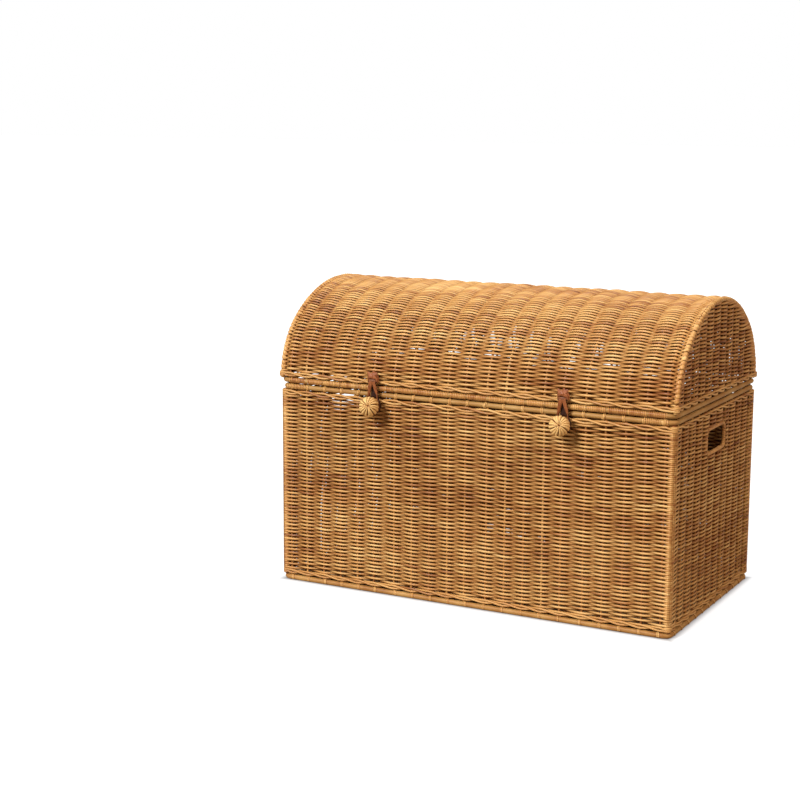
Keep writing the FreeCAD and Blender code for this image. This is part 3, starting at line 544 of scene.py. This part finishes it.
def hand_hold(side, node):
    """The wrap of a hand-hold's bent pole: straights with a round bend at each corner."""
    low, high = span(node)
    pole, bend, pitch = (high[0] - low[0]) / 2, 10.0, 3.6
    bend_y, bend_z = (high[1:] - low[1:]) / 2 - pole - bend
    x, _, level = middle(node)
    corners = [(bend_y, bend_z, 0), (-bend_y, bend_z, 90), (-bend_y, -bend_z, 180), (bend_y, -bend_z, 270)]

    def round_corner(number, degrees):
        y, z, begin = corners[number % 4]
        angle = np.radians(begin + degrees)
        return np.stack([y + bend * np.cos(angle), z + bend * np.sin(angle)], -1)

    line = []
    for number in range(4):
        line.append(round_corner(number, np.linspace(0, 90, 9)))
        straight = np.linspace(0, 1, 12)[1:-1, None]
        line.append(mix(line[-1][-1], round_corner(number + 1, 0), straight))
    line = np.concatenate(line + [line[0][:1]])
    runs = np.concatenate([[0], np.cumsum(np.linalg.norm(np.diff(line, axis=0), axis=1))])
    fine = np.linspace(0, runs[-1], int(runs[-1] / pitch * 10))
    path = np.stack([np.interp(fine, runs, line[:, k]) for k in (0, 1)], -1)
    tangent = unit(np.gradient(path, axis=0))
    normals = at_x(0, np.stack([tangent[:, 1], -tangent[:, 0]], -1))
    bundle = Bundle(FLAT, seed=90 + side)
    at, face = coil(at_x(x, path + (0, level)), normals, X * side, fine, 2.95, pitch)
    bundle.add(at, face, 1.72, 0.55, tone=0.7)
    return bundle


def hinge_bindings():
    """Five turns of flat cane round both back poles at each place."""
    bundle = Bundle(FLAT, seed=95)
    body_level, lid_level = middle("body_rim")[2], middle("lid_rim")[2]
    radius, turns, reach = 4.75, 5.2, 5.7
    rise, half = lid_level - body_level, math.pi * radius
    lap = 2 * (half + rise)
    run = np.linspace(0, turns * lap, 170)
    # a lap goes up behind the poles, over the lid's, down before them and under the body's
    part = run % lap
    stages = [part < rise, part < rise + half, part < 2 * rise + half]
    under = math.pi + (part - 2 * rise - half) / radius
    turn = np.select(stages, [0, (part - rise) / radius, math.pi], under)
    level = body_level + np.select(stages, [part, rise, 2 * rise + half - part], 0)
    outs = at_x(0, np.stack([np.cos(turn), np.sin(turn)], -1))
    for x in clusters("hinge_bindings", 0):
        along = x + reach * (2 * run / run[-1] - 1)
        points = np.stack([along, np.full(len(run), middle("hinge_bindings")[1]), level], -1) + radius * outs
        bundle.add(points, outs, 1.05, 0.5)
    return bundle


# ---------------------------------------------------------------- closures


def ball(node):
    """A ball of cane: strips that run from a pucker in front round to the neck, over a round core."""
    low, high = span(node)
    radius = (high[0] - low[0]) / 2
    centre = np.array([(low[0] + high[0]) / 2, low[1] + radius, (low[2] + high[2]) / 2])
    neck_end = np.array([centre[0], high[1], centre[2]])
    neck = mix(centre + (radius - 3) * Y, neck_end, np.linspace(0, 1, 4)[:, None])
    # the cane ball is a little smaller than its room in the CAD, and hangs a little aside in it
    radius, centre = radius - 0.8, centre + (0.5, 0.6, 0.5)
    bundle = Bundle(ROUND_FINE, seed=int(abs(centre[0])) + 3)
    depth, core_radius = np.linspace(-0.985, 1, 18), radius - 2.7
    core = centre + np.outer(depth * core_radius, Y)
    core_width = np.maximum(core_radius * np.sqrt(1 - depth**2), 0.4)
    # the core is painted in full shade, so it shows dark between the strips
    bundle.add(core, np.broadcast_to(Z, core.shape), core_width, tone=0, flank=1.4)
    bundle.add(neck, np.broadcast_to(Z, neck.shape), 4.3, tone=0.5)
    # the strips gather at a pucker that looks to the front, a little to the right and up
    strips, pucker = 17, unit(np.array([0.34, -0.9, 0.28]))
    beside = unit(np.cross(Z, pucker))
    above = np.cross(pucker, beside)
    lean = np.radians(np.linspace(3, 166, 30))
    for number in range(strips):
        swirl = 0.16 * np.maximum(1 - lean / 1.7, 0) ** 1.3 + bundle.rng.normal(0, 0.05)
        turn = 2 * math.pi * number / strips + swirl
        away = np.cos(turn)[:, None] * beside + np.sin(turn)[:, None] * above
        out = np.cos(lean)[:, None] * pucker + np.sin(lean)[:, None] * away
        thick = np.minimum(2.2, 0.5 + 2.4 * np.sin(lean))
        lift = radius - thick - 3.0 * np.exp(-((lean / 0.3) ** 2)) - abs(bundle.rng.normal(0, 0.25))
        width = radius * np.sin(lean) * math.pi / strips * bundle.rng.uniform(0.78, 0.92)
        width = np.maximum(width * (1 - 0.3 * np.exp(-((lean / 0.45) ** 2))), 0.25)
        bundle.add(centre + out * lift[:, None], out, width, thick, bundle.rng.uniform(0.1, 1))
    return bundle


def pivot_of(joint):
    return next(np.array(j["pos_m"]) * 1000 for j in frame["joints"] if j["name"] == joint)


def curve_through(points, count):
    """A smooth curve through points, by Catmull-Rom pieces."""
    points = np.array(points, float)
    points = np.concatenate([2 * points[:1] - points[1:2], points, 2 * points[-1:] - points[-2:-1]])
    t = np.linspace(0, len(points) - 3 - 1e-9, count)
    k = t.astype(int)
    f = (t - k)[:, None]
    a, b, c, d = (points[k + n] for n in range(4))
    return 0.5 * (2 * b + (c - a) * f + (2 * a - 5 * b + 4 * c - d) * f**2 + (3 * b - a - 3 * c + d) * f**3)


def closure_loop(joint, ball_node):
    """A leather strap: an upside-down U that faces the front, turning edge-on as it goes behind the ball."""
    pivot = pivot_of(joint)
    reach = pivot[2] - middle(ball_node)[2]
    bundle = Bundle(STRAP, seed=5)
    # one leg, as (distance from the middle, drop), down to the ball's level at reach and round under the ball
    leg = [(2.4, 0.5), (3.1, 4.5), (4.6, 10.0), (6.0, 16.0), (7.2, 22.0), (9.0, reach - 12.6),
           (11.6, reach - 7.0), (12.9, reach - 1.0), (12.3, reach + 5.0), (8.8, reach + 10.4),
           (3.6, reach + 13.0), (-0.8, reach + 13.4)]
    flat = curve_through(leg, 64)
    runs = np.concatenate([[0], np.cumsum(np.linalg.norm(np.diff(flat, axis=0), axis=1))])
    forward = mix(3.0, -0.6, ease(runs / 26.0))
    for side in (-1, 1):
        points = pivot + side * flat[:, :1] * X - flat[:, 1:] * Z - forward[:, None] * Y
        tangent = unit(np.gradient(points, axis=0))
        outward = unit(np.cross(tangent, Y) * -side)
        twist = 0.12 + ease((runs - 14) / 16.0) * 0.44 * math.pi
        face = -Y * np.cos(twist)[:, None] + outward * np.sin(twist)[:, None]
        width = mix(3.1, 2.4, ease((runs - 6) / 20.0))
        bundle.add(points + side * 0.12 * Y, face, width, 0.95, tone=0.5 + 0.1 * side, flank=0.3)
    # a dark strip laid behind the legs as the strap's under layer: painted shadow between the legs
    drop = np.linspace(4.0, reach - 12.0, 8)
    points = pivot - drop[:, None] * Z + mix(0.6, 2.9, ease(drop / 12))[:, None] * Y
    width = mix(3.2, 6.2, drop / reach)
    bundle.add(points, np.broadcast_to(-Y, points.shape), width, 0.45, tone=-1.5, flank=1.3)
    # the roll it turns on, with the strap's own turn showing at both ends
    for lap, radius in enumerate((3.15, 2.0)):
        along = np.array([-7.1, -6.7, -2.2, 2.2, 6.7, 7.1]) * (1 + 0.27 * lap)
        roll = pivot + along[:, None] * X
        size = radius * np.array([0.8, 1, 1.02, 0.98, 1, 0.8])
        bundle.add(roll, np.broadcast_to(Z, roll.shape), size, size, tone=0.3 + 0.3 * lap)
    return bundle


def closure_knot(node):
    """The strap's knot on the lid: an ear each side of the roll, and folds crossing and flaring above it."""
    low, high = span(node)
    centre, back, foot = (low[0] + high[0]) / 2, high[1], low[2]
    bundle = Bundle(STRAP, seed=8)

    def fold(path, width, thick, tone, faces, count=22):
        """A strap along (x, forward from the wall, level above the knot's foot), with its face turning."""
        path = [(centre + x, back - forward, foot + level) for x, forward, level in path]
        line = curve_through(path, count)
        steps, faces = np.linspace(0, len(faces) - 1, count), np.array(faces, float)
        face = np.stack([np.interp(steps, np.arange(len(faces)), faces[:, k]) for k in range(3)], -1)
        width = np.interp(np.linspace(0, 1, count), np.linspace(0, 1, len(width)), width)
        bundle.add(line, unit(face), width, thick, tone)

    for side in (-1, 1):
        # the ear: beside the roll's end and over the top to the middle
        fold([(side * 8.2, 4.4, 1.6), (side * 8.3, 4.4, 4.6), (side * 8.3, 4.6, 9.0), (side * 6.4, 4.8, 13.0),
              (side * 1.0, 5.0, 14.4)], (1.2, 2.6, 3.6, 3.8, 3.4), 1.0, 0.45 + 0.1 * side,
             faces=((side, -0.25, 0.1), (side, -0.35, 0.2), (side * 0.7, -0.3, 0.8), (0.1 * side, -0.2, 1)))
    # two folds cross in front, the one that starts on the right over the other
    fold([(-8.4, 5.0, 8.6), (-5.6, 7.2, 10.8), (0.0, 7.9, 13.8), (5.8, 6.9, 16.8), (8.9, 5.6, 18.4)],
         (1.6, 2.9, 3.2, 2.9, 1.8), 1.25, 0.35, faces=((-0.5, -1, 0), (0, -1, 0.2), (0.4, -1, 0.3)))
    fold([(8.6, 5.2, 8.6), (5.2, 8.0, 10.8), (-0.6, 9.0, 13.4), (-5.6, 7.6, 16.6), (-8.2, 6.0, 18.6)],
         (1.6, 3.0, 3.3, 2.8, 1.5), 1.25, 0.62, faces=((0.5, -1, 0), (0, -1, 0.2), (-0.4, -1, 0.3)))
    # the turn of strap that holds them, and the cut end that stands up above
    fold([(0.4, 2.0, 9.9), (0.5, 7.2, 9.7), (0.2, 9.9, 11.2), (-0.2, 9.8, 14.2), (0.2, 6.6, 16.6),
          (0.4, 2.4, 17.0)], (2.5, 3.0, 3.1, 3.1, 2.8, 2.4), 1.05, 0.55,
         faces=((0, -0.2, -1), (0, -1, -0.9), (0, -1, 0), (0, -1, 0.3), (0, -0.3, 1), (0, 0.2, 1)))
    fold([(0.6, 3.6, 12.5), (0.9, 4.6, 17.0), (1.6, 4.2, 20.8)], (2.8, 2.6, 1.8), 0.95, 0.7,
         faces=((0, -1, 0.1), (0.2, -1, 0.3)), count=10)
    return bundle


# ---------------------------------------------------------------- materials


class Shader:
    """A material's nodes, with a short call for each kind that is used here."""

    def __init__(self, name):
        self.material = bpy.data.materials.new(name)
        self.material.use_nodes = True
        self.tree = self.material.node_tree
        self.surface = self.tree.nodes["Principled BSDF"]

    def feed(self, socket, value):
        if isinstance(value, bpy.types.NodeSocket):
            self.tree.links.new(value, socket)
        else:
            socket.default_value = value

    def attribute(self, name, output):
        node = self.tree.nodes.new("ShaderNodeAttribute")
        node.attribute_name = name
        return node.outputs[output]

    def place(self):
        return self.tree.nodes.new("ShaderNodeTexCoord").outputs["Object"]

    def scaled(self, vector, factors):
        node = self.tree.nodes.new("ShaderNodeVectorMath")
        node.operation = "MULTIPLY"
        self.feed(node.inputs[0], vector)
        node.inputs[1].default_value = factors
        return node.outputs[0]

    def noise(self, vector, scale=1.0, detail=2.0, roughness=0.5):
        node = self.tree.nodes.new("ShaderNodeTexNoise")
        self.feed(node.inputs["Vector"], vector)
        node.inputs["Scale"].default_value = scale
        node.inputs["Detail"].default_value = detail
        node.inputs["Roughness"].default_value = roughness
        return node.outputs["Fac"]

    def maths(self, operation, a, b, clamp=False):
        node = self.tree.nodes.new("ShaderNodeMath")
        node.operation, node.use_clamp = operation, clamp
        self.feed(node.inputs[0], a)
        self.feed(node.inputs[1], b)
        return node.outputs[0]

    def swing(self, value, gain):
        """A value about 0.5 turned into one about 0, times a gain."""
        return self.maths("MULTIPLY", self.maths("SUBTRACT", value, 0.5), gain)

    def total(self, *values, clamp=False):
        result = values[0]
        for number, value in enumerate(values[1:]):
            result = self.maths("ADD", result, value, clamp and number == len(values) - 2)
        return result

    def ramp(self, value, stops):
        node = self.tree.nodes.new("ShaderNodeValToRGB")
        self.feed(node.inputs["Fac"], value)
        elements = node.color_ramp.elements
        while len(elements) < len(stops):
            elements.new(0.5)
        for element, (place, colour) in zip(elements, stops):
            element.position = place
            element.color = (*colour, 1)
        return node.outputs["Color"]

    def blended(self, kind, factor, a, b):
        node = self.tree.nodes.new("ShaderNodeMix")
        node.data_type, node.blend_type = "RGBA", kind
        self.feed(node.inputs[0], factor)
        for socket, value in ((node.inputs[6], a), (node.inputs[7], b)):
            self.feed(socket, value if isinstance(value, bpy.types.NodeSocket) else (*value, 1))
        return node.outputs[2]

    def shaded(self, colour, factors):
        return self.blended("MULTIPLY", 1.0, colour, factors)

    def finish(self, colour, roughness, height, depth, strength, specular):
        self.feed(self.surface.inputs["Base Color"], colour)
        self.feed(self.surface.inputs["Roughness"], roughness)
        self.feed(self.surface.inputs["Specular IOR Level"], specular)
        bump = self.tree.nodes.new("ShaderNodeBump")
        bump.inputs["Strength"].default_value = strength
        bump.inputs["Distance"].default_value = depth
        self.feed(bump.inputs["Height"], height)
        self.feed(self.surface.inputs["Normal"], bump.outputs["Normal"])
        return self.material


# from the darkest cane to the palest
CANE_STOPS = (
    (0.0, (0.24, 0.080, 0.020)),
    (0.25, (0.41, 0.170, 0.043)),
    (0.5, (0.58, 0.290, 0.080)),
    (0.75, (0.69, 0.392, 0.124)),
    (1.0, (0.80, 0.510, 0.190)),
)


def cane(name, shift=0.0, spread=1.0, roughness=0.46):
    """Strands of cane: each its own tone, with long streaks, fine fibres and redder patches over the weave,
    and painted shade that makes them dark where they lie deep."""
    s = Shader(name)
    grain, place = s.attribute("grain", "Vector"), s.place()
    patch = s.noise(s.scaled(place, (1.0, 1.0, 1.9)), 8.0, 2.0)
    streak = s.noise(s.scaled(grain, (0.011, 0.25, 0.25)), 1.0, 2.0)
    fibre = s.noise(s.scaled(grain, (0.07, 3.2, 3.2)), 1.0, 3.0, 0.6)
    tone = s.swing(s.attribute("tone", "Fac"), 0.34 * spread)
    level = s.total(tone, s.swing(patch, 0.85 * spread), s.swing(streak, 1.3 * spread), s.swing(fibre, 0.35),
                    0.54 + shift, clamp=True)
    colour = s.ramp(level, CANE_STOPS)
    red = s.noise(s.scaled(place, (1.0, 1.0, 2.5)), 13.0, 3.0)
    red = s.maths("MULTIPLY", s.maths("SUBTRACT", red, 0.52, clamp=True), 3.2, clamp=True)
    colour = s.blended("MIX", s.maths("MULTIPLY", red, 0.5), colour, s.shaded(colour, (0.86, 0.66, 0.56)))
    # painted shade: darker and redder where a strand lies deep or faces in, with less shine there
    painted_shade = s.maths("POWER", s.attribute("painted_shade", "Fac"), 1.15)
    colour = s.blended("MIX", painted_shade, colour, s.shaded(colour, (0.13, 0.028, 0.006)))
    rough = s.total(s.swing(fibre, 0.3), s.swing(streak, 0.3), roughness, clamp=True)
    shine = s.maths("SUBTRACT", 0.45, s.maths("MULTIPLY", painted_shade, 0.6), clamp=True)
    return s.finish(colour, rough, fibre, 0.00022, 0.55, shine)


def pole(name, stretch, shift, variety, shade, specular):
    """Peeled rattan poles and stakes. stretch is smallest along the fibres, and shade darkens the whole."""
    s = Shader(name)
    place = s.place()
    broad = s.noise(s.scaled(place, (28.0, 28.0, 1.2)), 1.0, 1.0)
    fibre = s.noise(s.scaled(place, stretch), 420.0, 3.0, 0.6)
    pore = s.noise(s.scaled(place, stretch), 1500.0, 2.0)
    level = s.total(s.swing(broad, variety), s.swing(fibre, 0.5), 0.52 + shift, clamp=True)
    colour = s.shaded(s.ramp(level, CANE_STOPS), (shade,) * 3)
    rough = s.total(s.swing(fibre, 0.3), 0.5, clamp=True)
    return s.finish(colour, rough, s.total(fibre, s.maths("MULTIPLY", pore, 0.5)), 0.0003, 0.4, specular)


def leather(name, dark, mid, light):
    """Smooth brown leather: fine pebbled grain, darker creases, lighter worn edges and painted shade."""
    s = Shader(name)
    grain, place = s.attribute("grain", "Vector"), s.place()
    pebble = s.tree.nodes.new("ShaderNodeTexVoronoi")
    pebble.feature = "SMOOTH_F1"
    s.feed(pebble.inputs["Vector"], grain)
    pebble.inputs["Scale"].default_value = 2.4
    cloud = s.noise(place, 260.0, 4.0, 0.6)
    crease = s.noise(s.scaled(grain, (0.9, 0.35, 0.35)), 1.0, 3.0)
    tone = s.swing(s.attribute("tone", "Fac"), 0.5)
    level = s.total(s.swing(cloud, 1.0), s.swing(crease, 0.7), tone, 0.5, clamp=True)
    colour = s.ramp(level, ((0.0, dark), (0.5, mid), (1.0, light)))
    # the edges are worn, from this far out of the strap's middle
    worn_from = 2.75
    split = s.tree.nodes.new("ShaderNodeSeparateXYZ")
    s.feed(split.inputs[0], grain)
    edge = s.maths("SUBTRACT", s.maths("ABSOLUTE", split.outputs[1], 0.0), worn_from, clamp=True)
    edge = s.maths("MULTIPLY", edge, 1.6, clamp=True)
    colour = s.blended("MIX", s.maths("MULTIPLY", edge, 0.55), colour, light)
    # painted shade: close to black where the strap lies deep or faces in
    colour = s.blended("MIX", s.attribute("painted_shade", "Fac"), colour, (0.02, 0.004, 0.001))
    rough = s.total(s.swing(cloud, 0.4), 0.44, clamp=True)
    height = s.total(pebble.outputs["Distance"], s.maths("MULTIPLY", crease, 0.8))
    return s.finish(colour, rough, height, 0.0003, 0.6, 0.3)


def plywood():
    """A plywood face, its figure drawn out along X."""
    s = Shader("plywood_face")
    place = s.place()
    warp = s.noise(s.scaled(place, (1.0, 6.0, 6.0)), 6.0, 2.0)
    ring = s.noise(s.scaled(place, (1.2, 26.0, 26.0)), 3.0, 4.0, 0.65)
    fibre = s.noise(s.scaled(place, (12.0, 320.0, 320.0)), 3.0, 2.0)
    level = s.total(s.swing(warp, 0.8), s.swing(ring, 1.2), s.swing(fibre, 0.4), 0.5, clamp=True)
    colour = s.ramp(level, ((0.0, (0.34, 0.19, 0.085)), (0.5, (0.52, 0.34, 0.17)), (1.0, (0.66, 0.47, 0.27))))
    rough = s.total(s.swing(fibre, 0.3), 0.55, clamp=True)
    return s.finish(colour, rough, s.total(fibre, ring), 0.0004, 0.4, 0.35)


# ---------------------------------------------------------------- the trunk

weave_cane = cane("weaving_cane")
end_cane = cane("end_cane", -0.12)
wrap_cane = cane("wrapping_cane", -0.12, 0.9, 0.42)
ball_cane = cane("ball_cane", 0.4, 0.6, 0.42)
upright_pole = pole("upright_rattan", (1.0, 1.0, 0.06), -0.24, 2.6, 1.0, 0.4)
rim_pole = pole("rim_rattan", (0.2, 0.2, 1.0), 0.08, 0.9, 0.6, 0.2)
foot_pole = pole("foot_rattan", (0.2, 0.2, 1.0), -0.04, 0.9, 0.66, 0.2)
knot_leather = leather("knot_leather", (0.12, 0.030, 0.008), (0.28, 0.083, 0.025), (0.52, 0.200, 0.078))
strap_leather = leather("strap_leather", (0.11, 0.028, 0.007), (0.25, 0.074, 0.021), (0.44, 0.165, 0.060))
board = plywood()


def round_the_walls(long_stakes, side_stakes):
    """Each wall's stakes, in the order in which a strand that goes round the trunk meets them."""
    return {"front": long_stakes, "right": side_stakes,
            "back": np.sort(-long_stakes), "left": np.sort(-side_stakes)}


def body_pieces():
    walls, stakes = body_walls(), round_the_walls(LONG_STAKES, SIDE_STAKES)
    hold_low, hold_high = span("right_hand_hold")
    opening = (hold_high[1] - 2.0, hold_low[2], hold_high[2])
    for name, wall in walls.items():
        hole = opening if name in ("left", "right") else None
        body_weave(name, wall, stakes[name], hole).piece(
            f"{name}_woven_rows", weave_cane, "body", "cane", f"{name}_weave")
    for node, seed, shift, spread in (("bottom_wale", 31, -0.7, 2.3), ("body_top_wale", 32, 1.0, 2.7)):
        wale(walls, stakes, middle(node)[2] + shift, WEAVE_LIFT, seed, spread).piece(
            f"{node}_twist", weave_cane, "body", "cane", node)
    rim_ties().piece("body_rim_lashings", wrap_cane, "body", "cane", "body_rim_ties")
    foot_ties().piece("foot_rim_lashings", wrap_cane, "body", "cane", "bottom_rim_ties")
    hinge_bindings().piece("hinge_lashings", wrap_cane, "body", "cane", "hinge_bindings")
    for side, node in ((-1, "left_hand_hold"), (1, "right_hand_hold")):
        hand_hold(side, node).piece(f"{node}_wrap", wrap_cane, "body", "cane")
    for node in ("left_ball", "right_ball"):
        ball(node).piece(f"{node}_cane", ball_cane, "body", "cane", node)


def lid_pieces():
    stakes = round_the_walls(LONG_STAKES, END_STAKES - LID_Y)
    wale_level, wale_top = middle("lid_wale")[2] - 0.5, span("lid_wale")[1][2]
    wale(lid_walls(), stakes, wale_level, LID_CORNER, 33, 2.4).piece(
        "lid_wale_twist", weave_cane, "lid", "cane", "lid_wale")
    low_run = (wale_top - SPRING) * 1.003
    half_rows = round((ARCH_RUN - 2 * low_run) / DOME_PITCH / 2)
    pitch = (ARCH_RUN - 2 * low_run) / half_rows / 2
    for name, first in (("dome_front", 0), ("dome_back", half_rows)):
        dome_weave(first, first + half_rows, low_run, pitch, FILL[name]).piece(
            f"{name}_rows", weave_cane, "lid", "cane", "dome_weave")
    for side, name in ((-1, "left"), (1, "right")):
        end_weave(side, wale_top, END_PITCH, FILL[f"{name}_end"]).piece(
            f"{name}_end_rows", end_cane, "lid", "cane", f"{name}_end_weave")
        arch_edge(side).piece(f"{name}_arch_wrap", wrap_cane, "lid", "cane", f"{name}_arch")
    lid_pole_wrap().piece("lid_rim_binding", wrap_cane, "lid", "cane", "lid_rim_wrap")


def closure_pieces():
    for side in ("left", "right"):
        closure_knot(f"{side}_knot").piece(
            f"{side}_knot_leather", knot_leather, "lid", "leather", f"{side}_knot")
        closure_loop(f"{side}_loop_hinge", f"{side}_ball").piece(
            f"{side}_loop_strap", strap_leather, f"{side}_loop_body", "leather", f"{side}_loop")


def cad_finishes():
    """Materials for the CAD solids that stay in view."""
    uprights = ("corner_posts", "front_posts", "back_posts", "front_stakes", "back_stakes", "left_stakes",
                "right_stakes", "left_end_stakes", "right_end_stakes", "lid_stakes", "lid_ribs", "ball_cords")
    rims = ("body_rim", "lid_rim", "left_hand_hold", "right_hand_hold")
    boards = ("base_panel", "base_crossbars")
    feet = ("bottom_rim",)
    for material, names in ((upright_pole, uprights), (rim_pole, rims), (foot_pole, feet), (board, boards)):
        for name in names:
            mesh = frame["nodes"][name].data
            mesh.materials.clear()
            mesh.materials.append(material)


# ---------------------------------------------------------------- the studio


def pale_floor():
    """A floor that glows a little for the camera only, and not under the trunk."""
    size, depth = 30.0, 0.0003
    corners = [(-size, -size, 0), (size, -size, 0), (size, size, 0), (-size, size, 0)]
    mesh = bpy.data.meshes.new("floor")
    mesh.from_pydata(corners, [], [(0, 1, 2, 3)])
    floor = bpy.data.objects.new("floor", mesh)
    floor.location.z = -depth
    bpy.context.scene.collection.objects.link(floor)
    s = Shader("floor_paint")
    seen = s.tree.nodes.new("ShaderNodeLightPath").outputs["Is Camera Ray"]
    mottle = s.ramp(s.noise(s.place(), 3.0, 2.0), ((0.0, (0.27, 0.27, 0.27)), (1.0, (0.30, 0.30, 0.295))))
    s.feed(s.surface.inputs["Base Color"], s.blended("MIX", seen, (0.34, 0.29, 0.23), mottle))
    split = s.tree.nodes.new("ShaderNodeSeparateXYZ")
    s.feed(split.inputs[0], s.place())
    away = [s.maths("ABSOLUTE", split.outputs[k], 0.0) for k in (0, 1)]
    beyond = [s.maths("SUBTRACT", away[k], CORNER[k] / 1000) for k in (0, 1)]
    open_floor = s.maths("MULTIPLY", s.maths("MAXIMUM", *beyond), 60.0, clamp=True)
    s.surface.inputs["Emission Color"].default_value = (1, 1, 1, 1)
    glow = s.maths("MULTIPLY", s.maths("MULTIPLY", seen, 0.87), open_floor)
    s.feed(s.surface.inputs["Emission Strength"], glow)
    s.surface.inputs["Roughness"].default_value = 0.9
    s.surface.inputs["Specular IOR Level"].default_value = 0.1
    mesh.materials.append(s.material)


def surroundings():
    """White for the camera, and dim warm light for the trunk."""
    world = bpy.data.worlds.new("studio")
    bpy.context.scene.world = world
    world.use_nodes = True
    nodes, links = world.node_tree.nodes, world.node_tree.links
    light = nodes["Background"]
    light.inputs["Color"].default_value = (1, 0.78, 0.64, 1)
    light.inputs["Strength"].default_value = 0.19
    white = nodes.new("ShaderNodeBackground")
    white.inputs["Color"].default_value = (1, 1, 1, 1)
    white.inputs["Strength"].default_value = 1.0
    choose = nodes.new("ShaderNodeMixShader")
    links.new(nodes.new("ShaderNodeLightPath").outputs["Is Camera Ray"], choose.inputs[0])
    links.new(light.outputs[0], choose.inputs[1])
    links.new(white.outputs[0], choose.inputs[2])
    links.new(choose.outputs[0], nodes["World Output"].inputs["Surface"])


def sun(name, direction, strength, softness, colour=(1, 1, 1)):
    """Light from a direction. softness is the width of its source in degrees."""
    data = bpy.data.lights.new(name, "SUN")
    data.energy, data.angle, data.color = strength, math.radians(softness), colour
    obj = bpy.data.objects.new(name, data)
    obj.rotation_euler = Vector(direction).to_track_quat("Z", "Y").to_euler()
    bpy.context.scene.collection.objects.link(obj)


def camera(place, turn, down, roll, lens):
    """A camera at a place in metres, turned from +Y towards -X, tilted down and rolled, all in degrees."""
    data = bpy.data.cameras.new("camera")
    data.lens, data.sensor_width = lens, 36.0
    data.clip_start, data.clip_end = 0.05, 60
    obj = bpy.data.objects.new("camera", data)
    turns = [Matrix.Rotation(math.radians(angle), 4, axis)
             for angle, axis in ((turn, "Z"), (90 - down, "X"), (roll, "Z"))]
    obj.matrix_world = Matrix.Translation(place) @ turns[0] @ turns[1] @ turns[2]
    bpy.context.scene.collection.objects.link(obj)
    bpy.context.scene.camera = obj


def studio():
    pale_floor()
    surroundings()
    sun("key", (-0.42, -1.0, 0.78), 4.0, 20)
    sun("top", (-0.1, 0.3, 1.0), 1.05, 35, (0.55, 0.8, 1.0))
    sun("side", (0.9, -0.3, 0.75), 1.6, 22, (1, 0.83, 0.78))
    camera((1.155, -2.5533, 0.8035), turn=28.4596, down=9.9973, roll=0.2627, lens=75.3)
    bpy.context.scene.view_settings.view_transform = "Standard"


body_pieces()
lid_pieces()
closure_pieces()
cad_finishes()
studio()
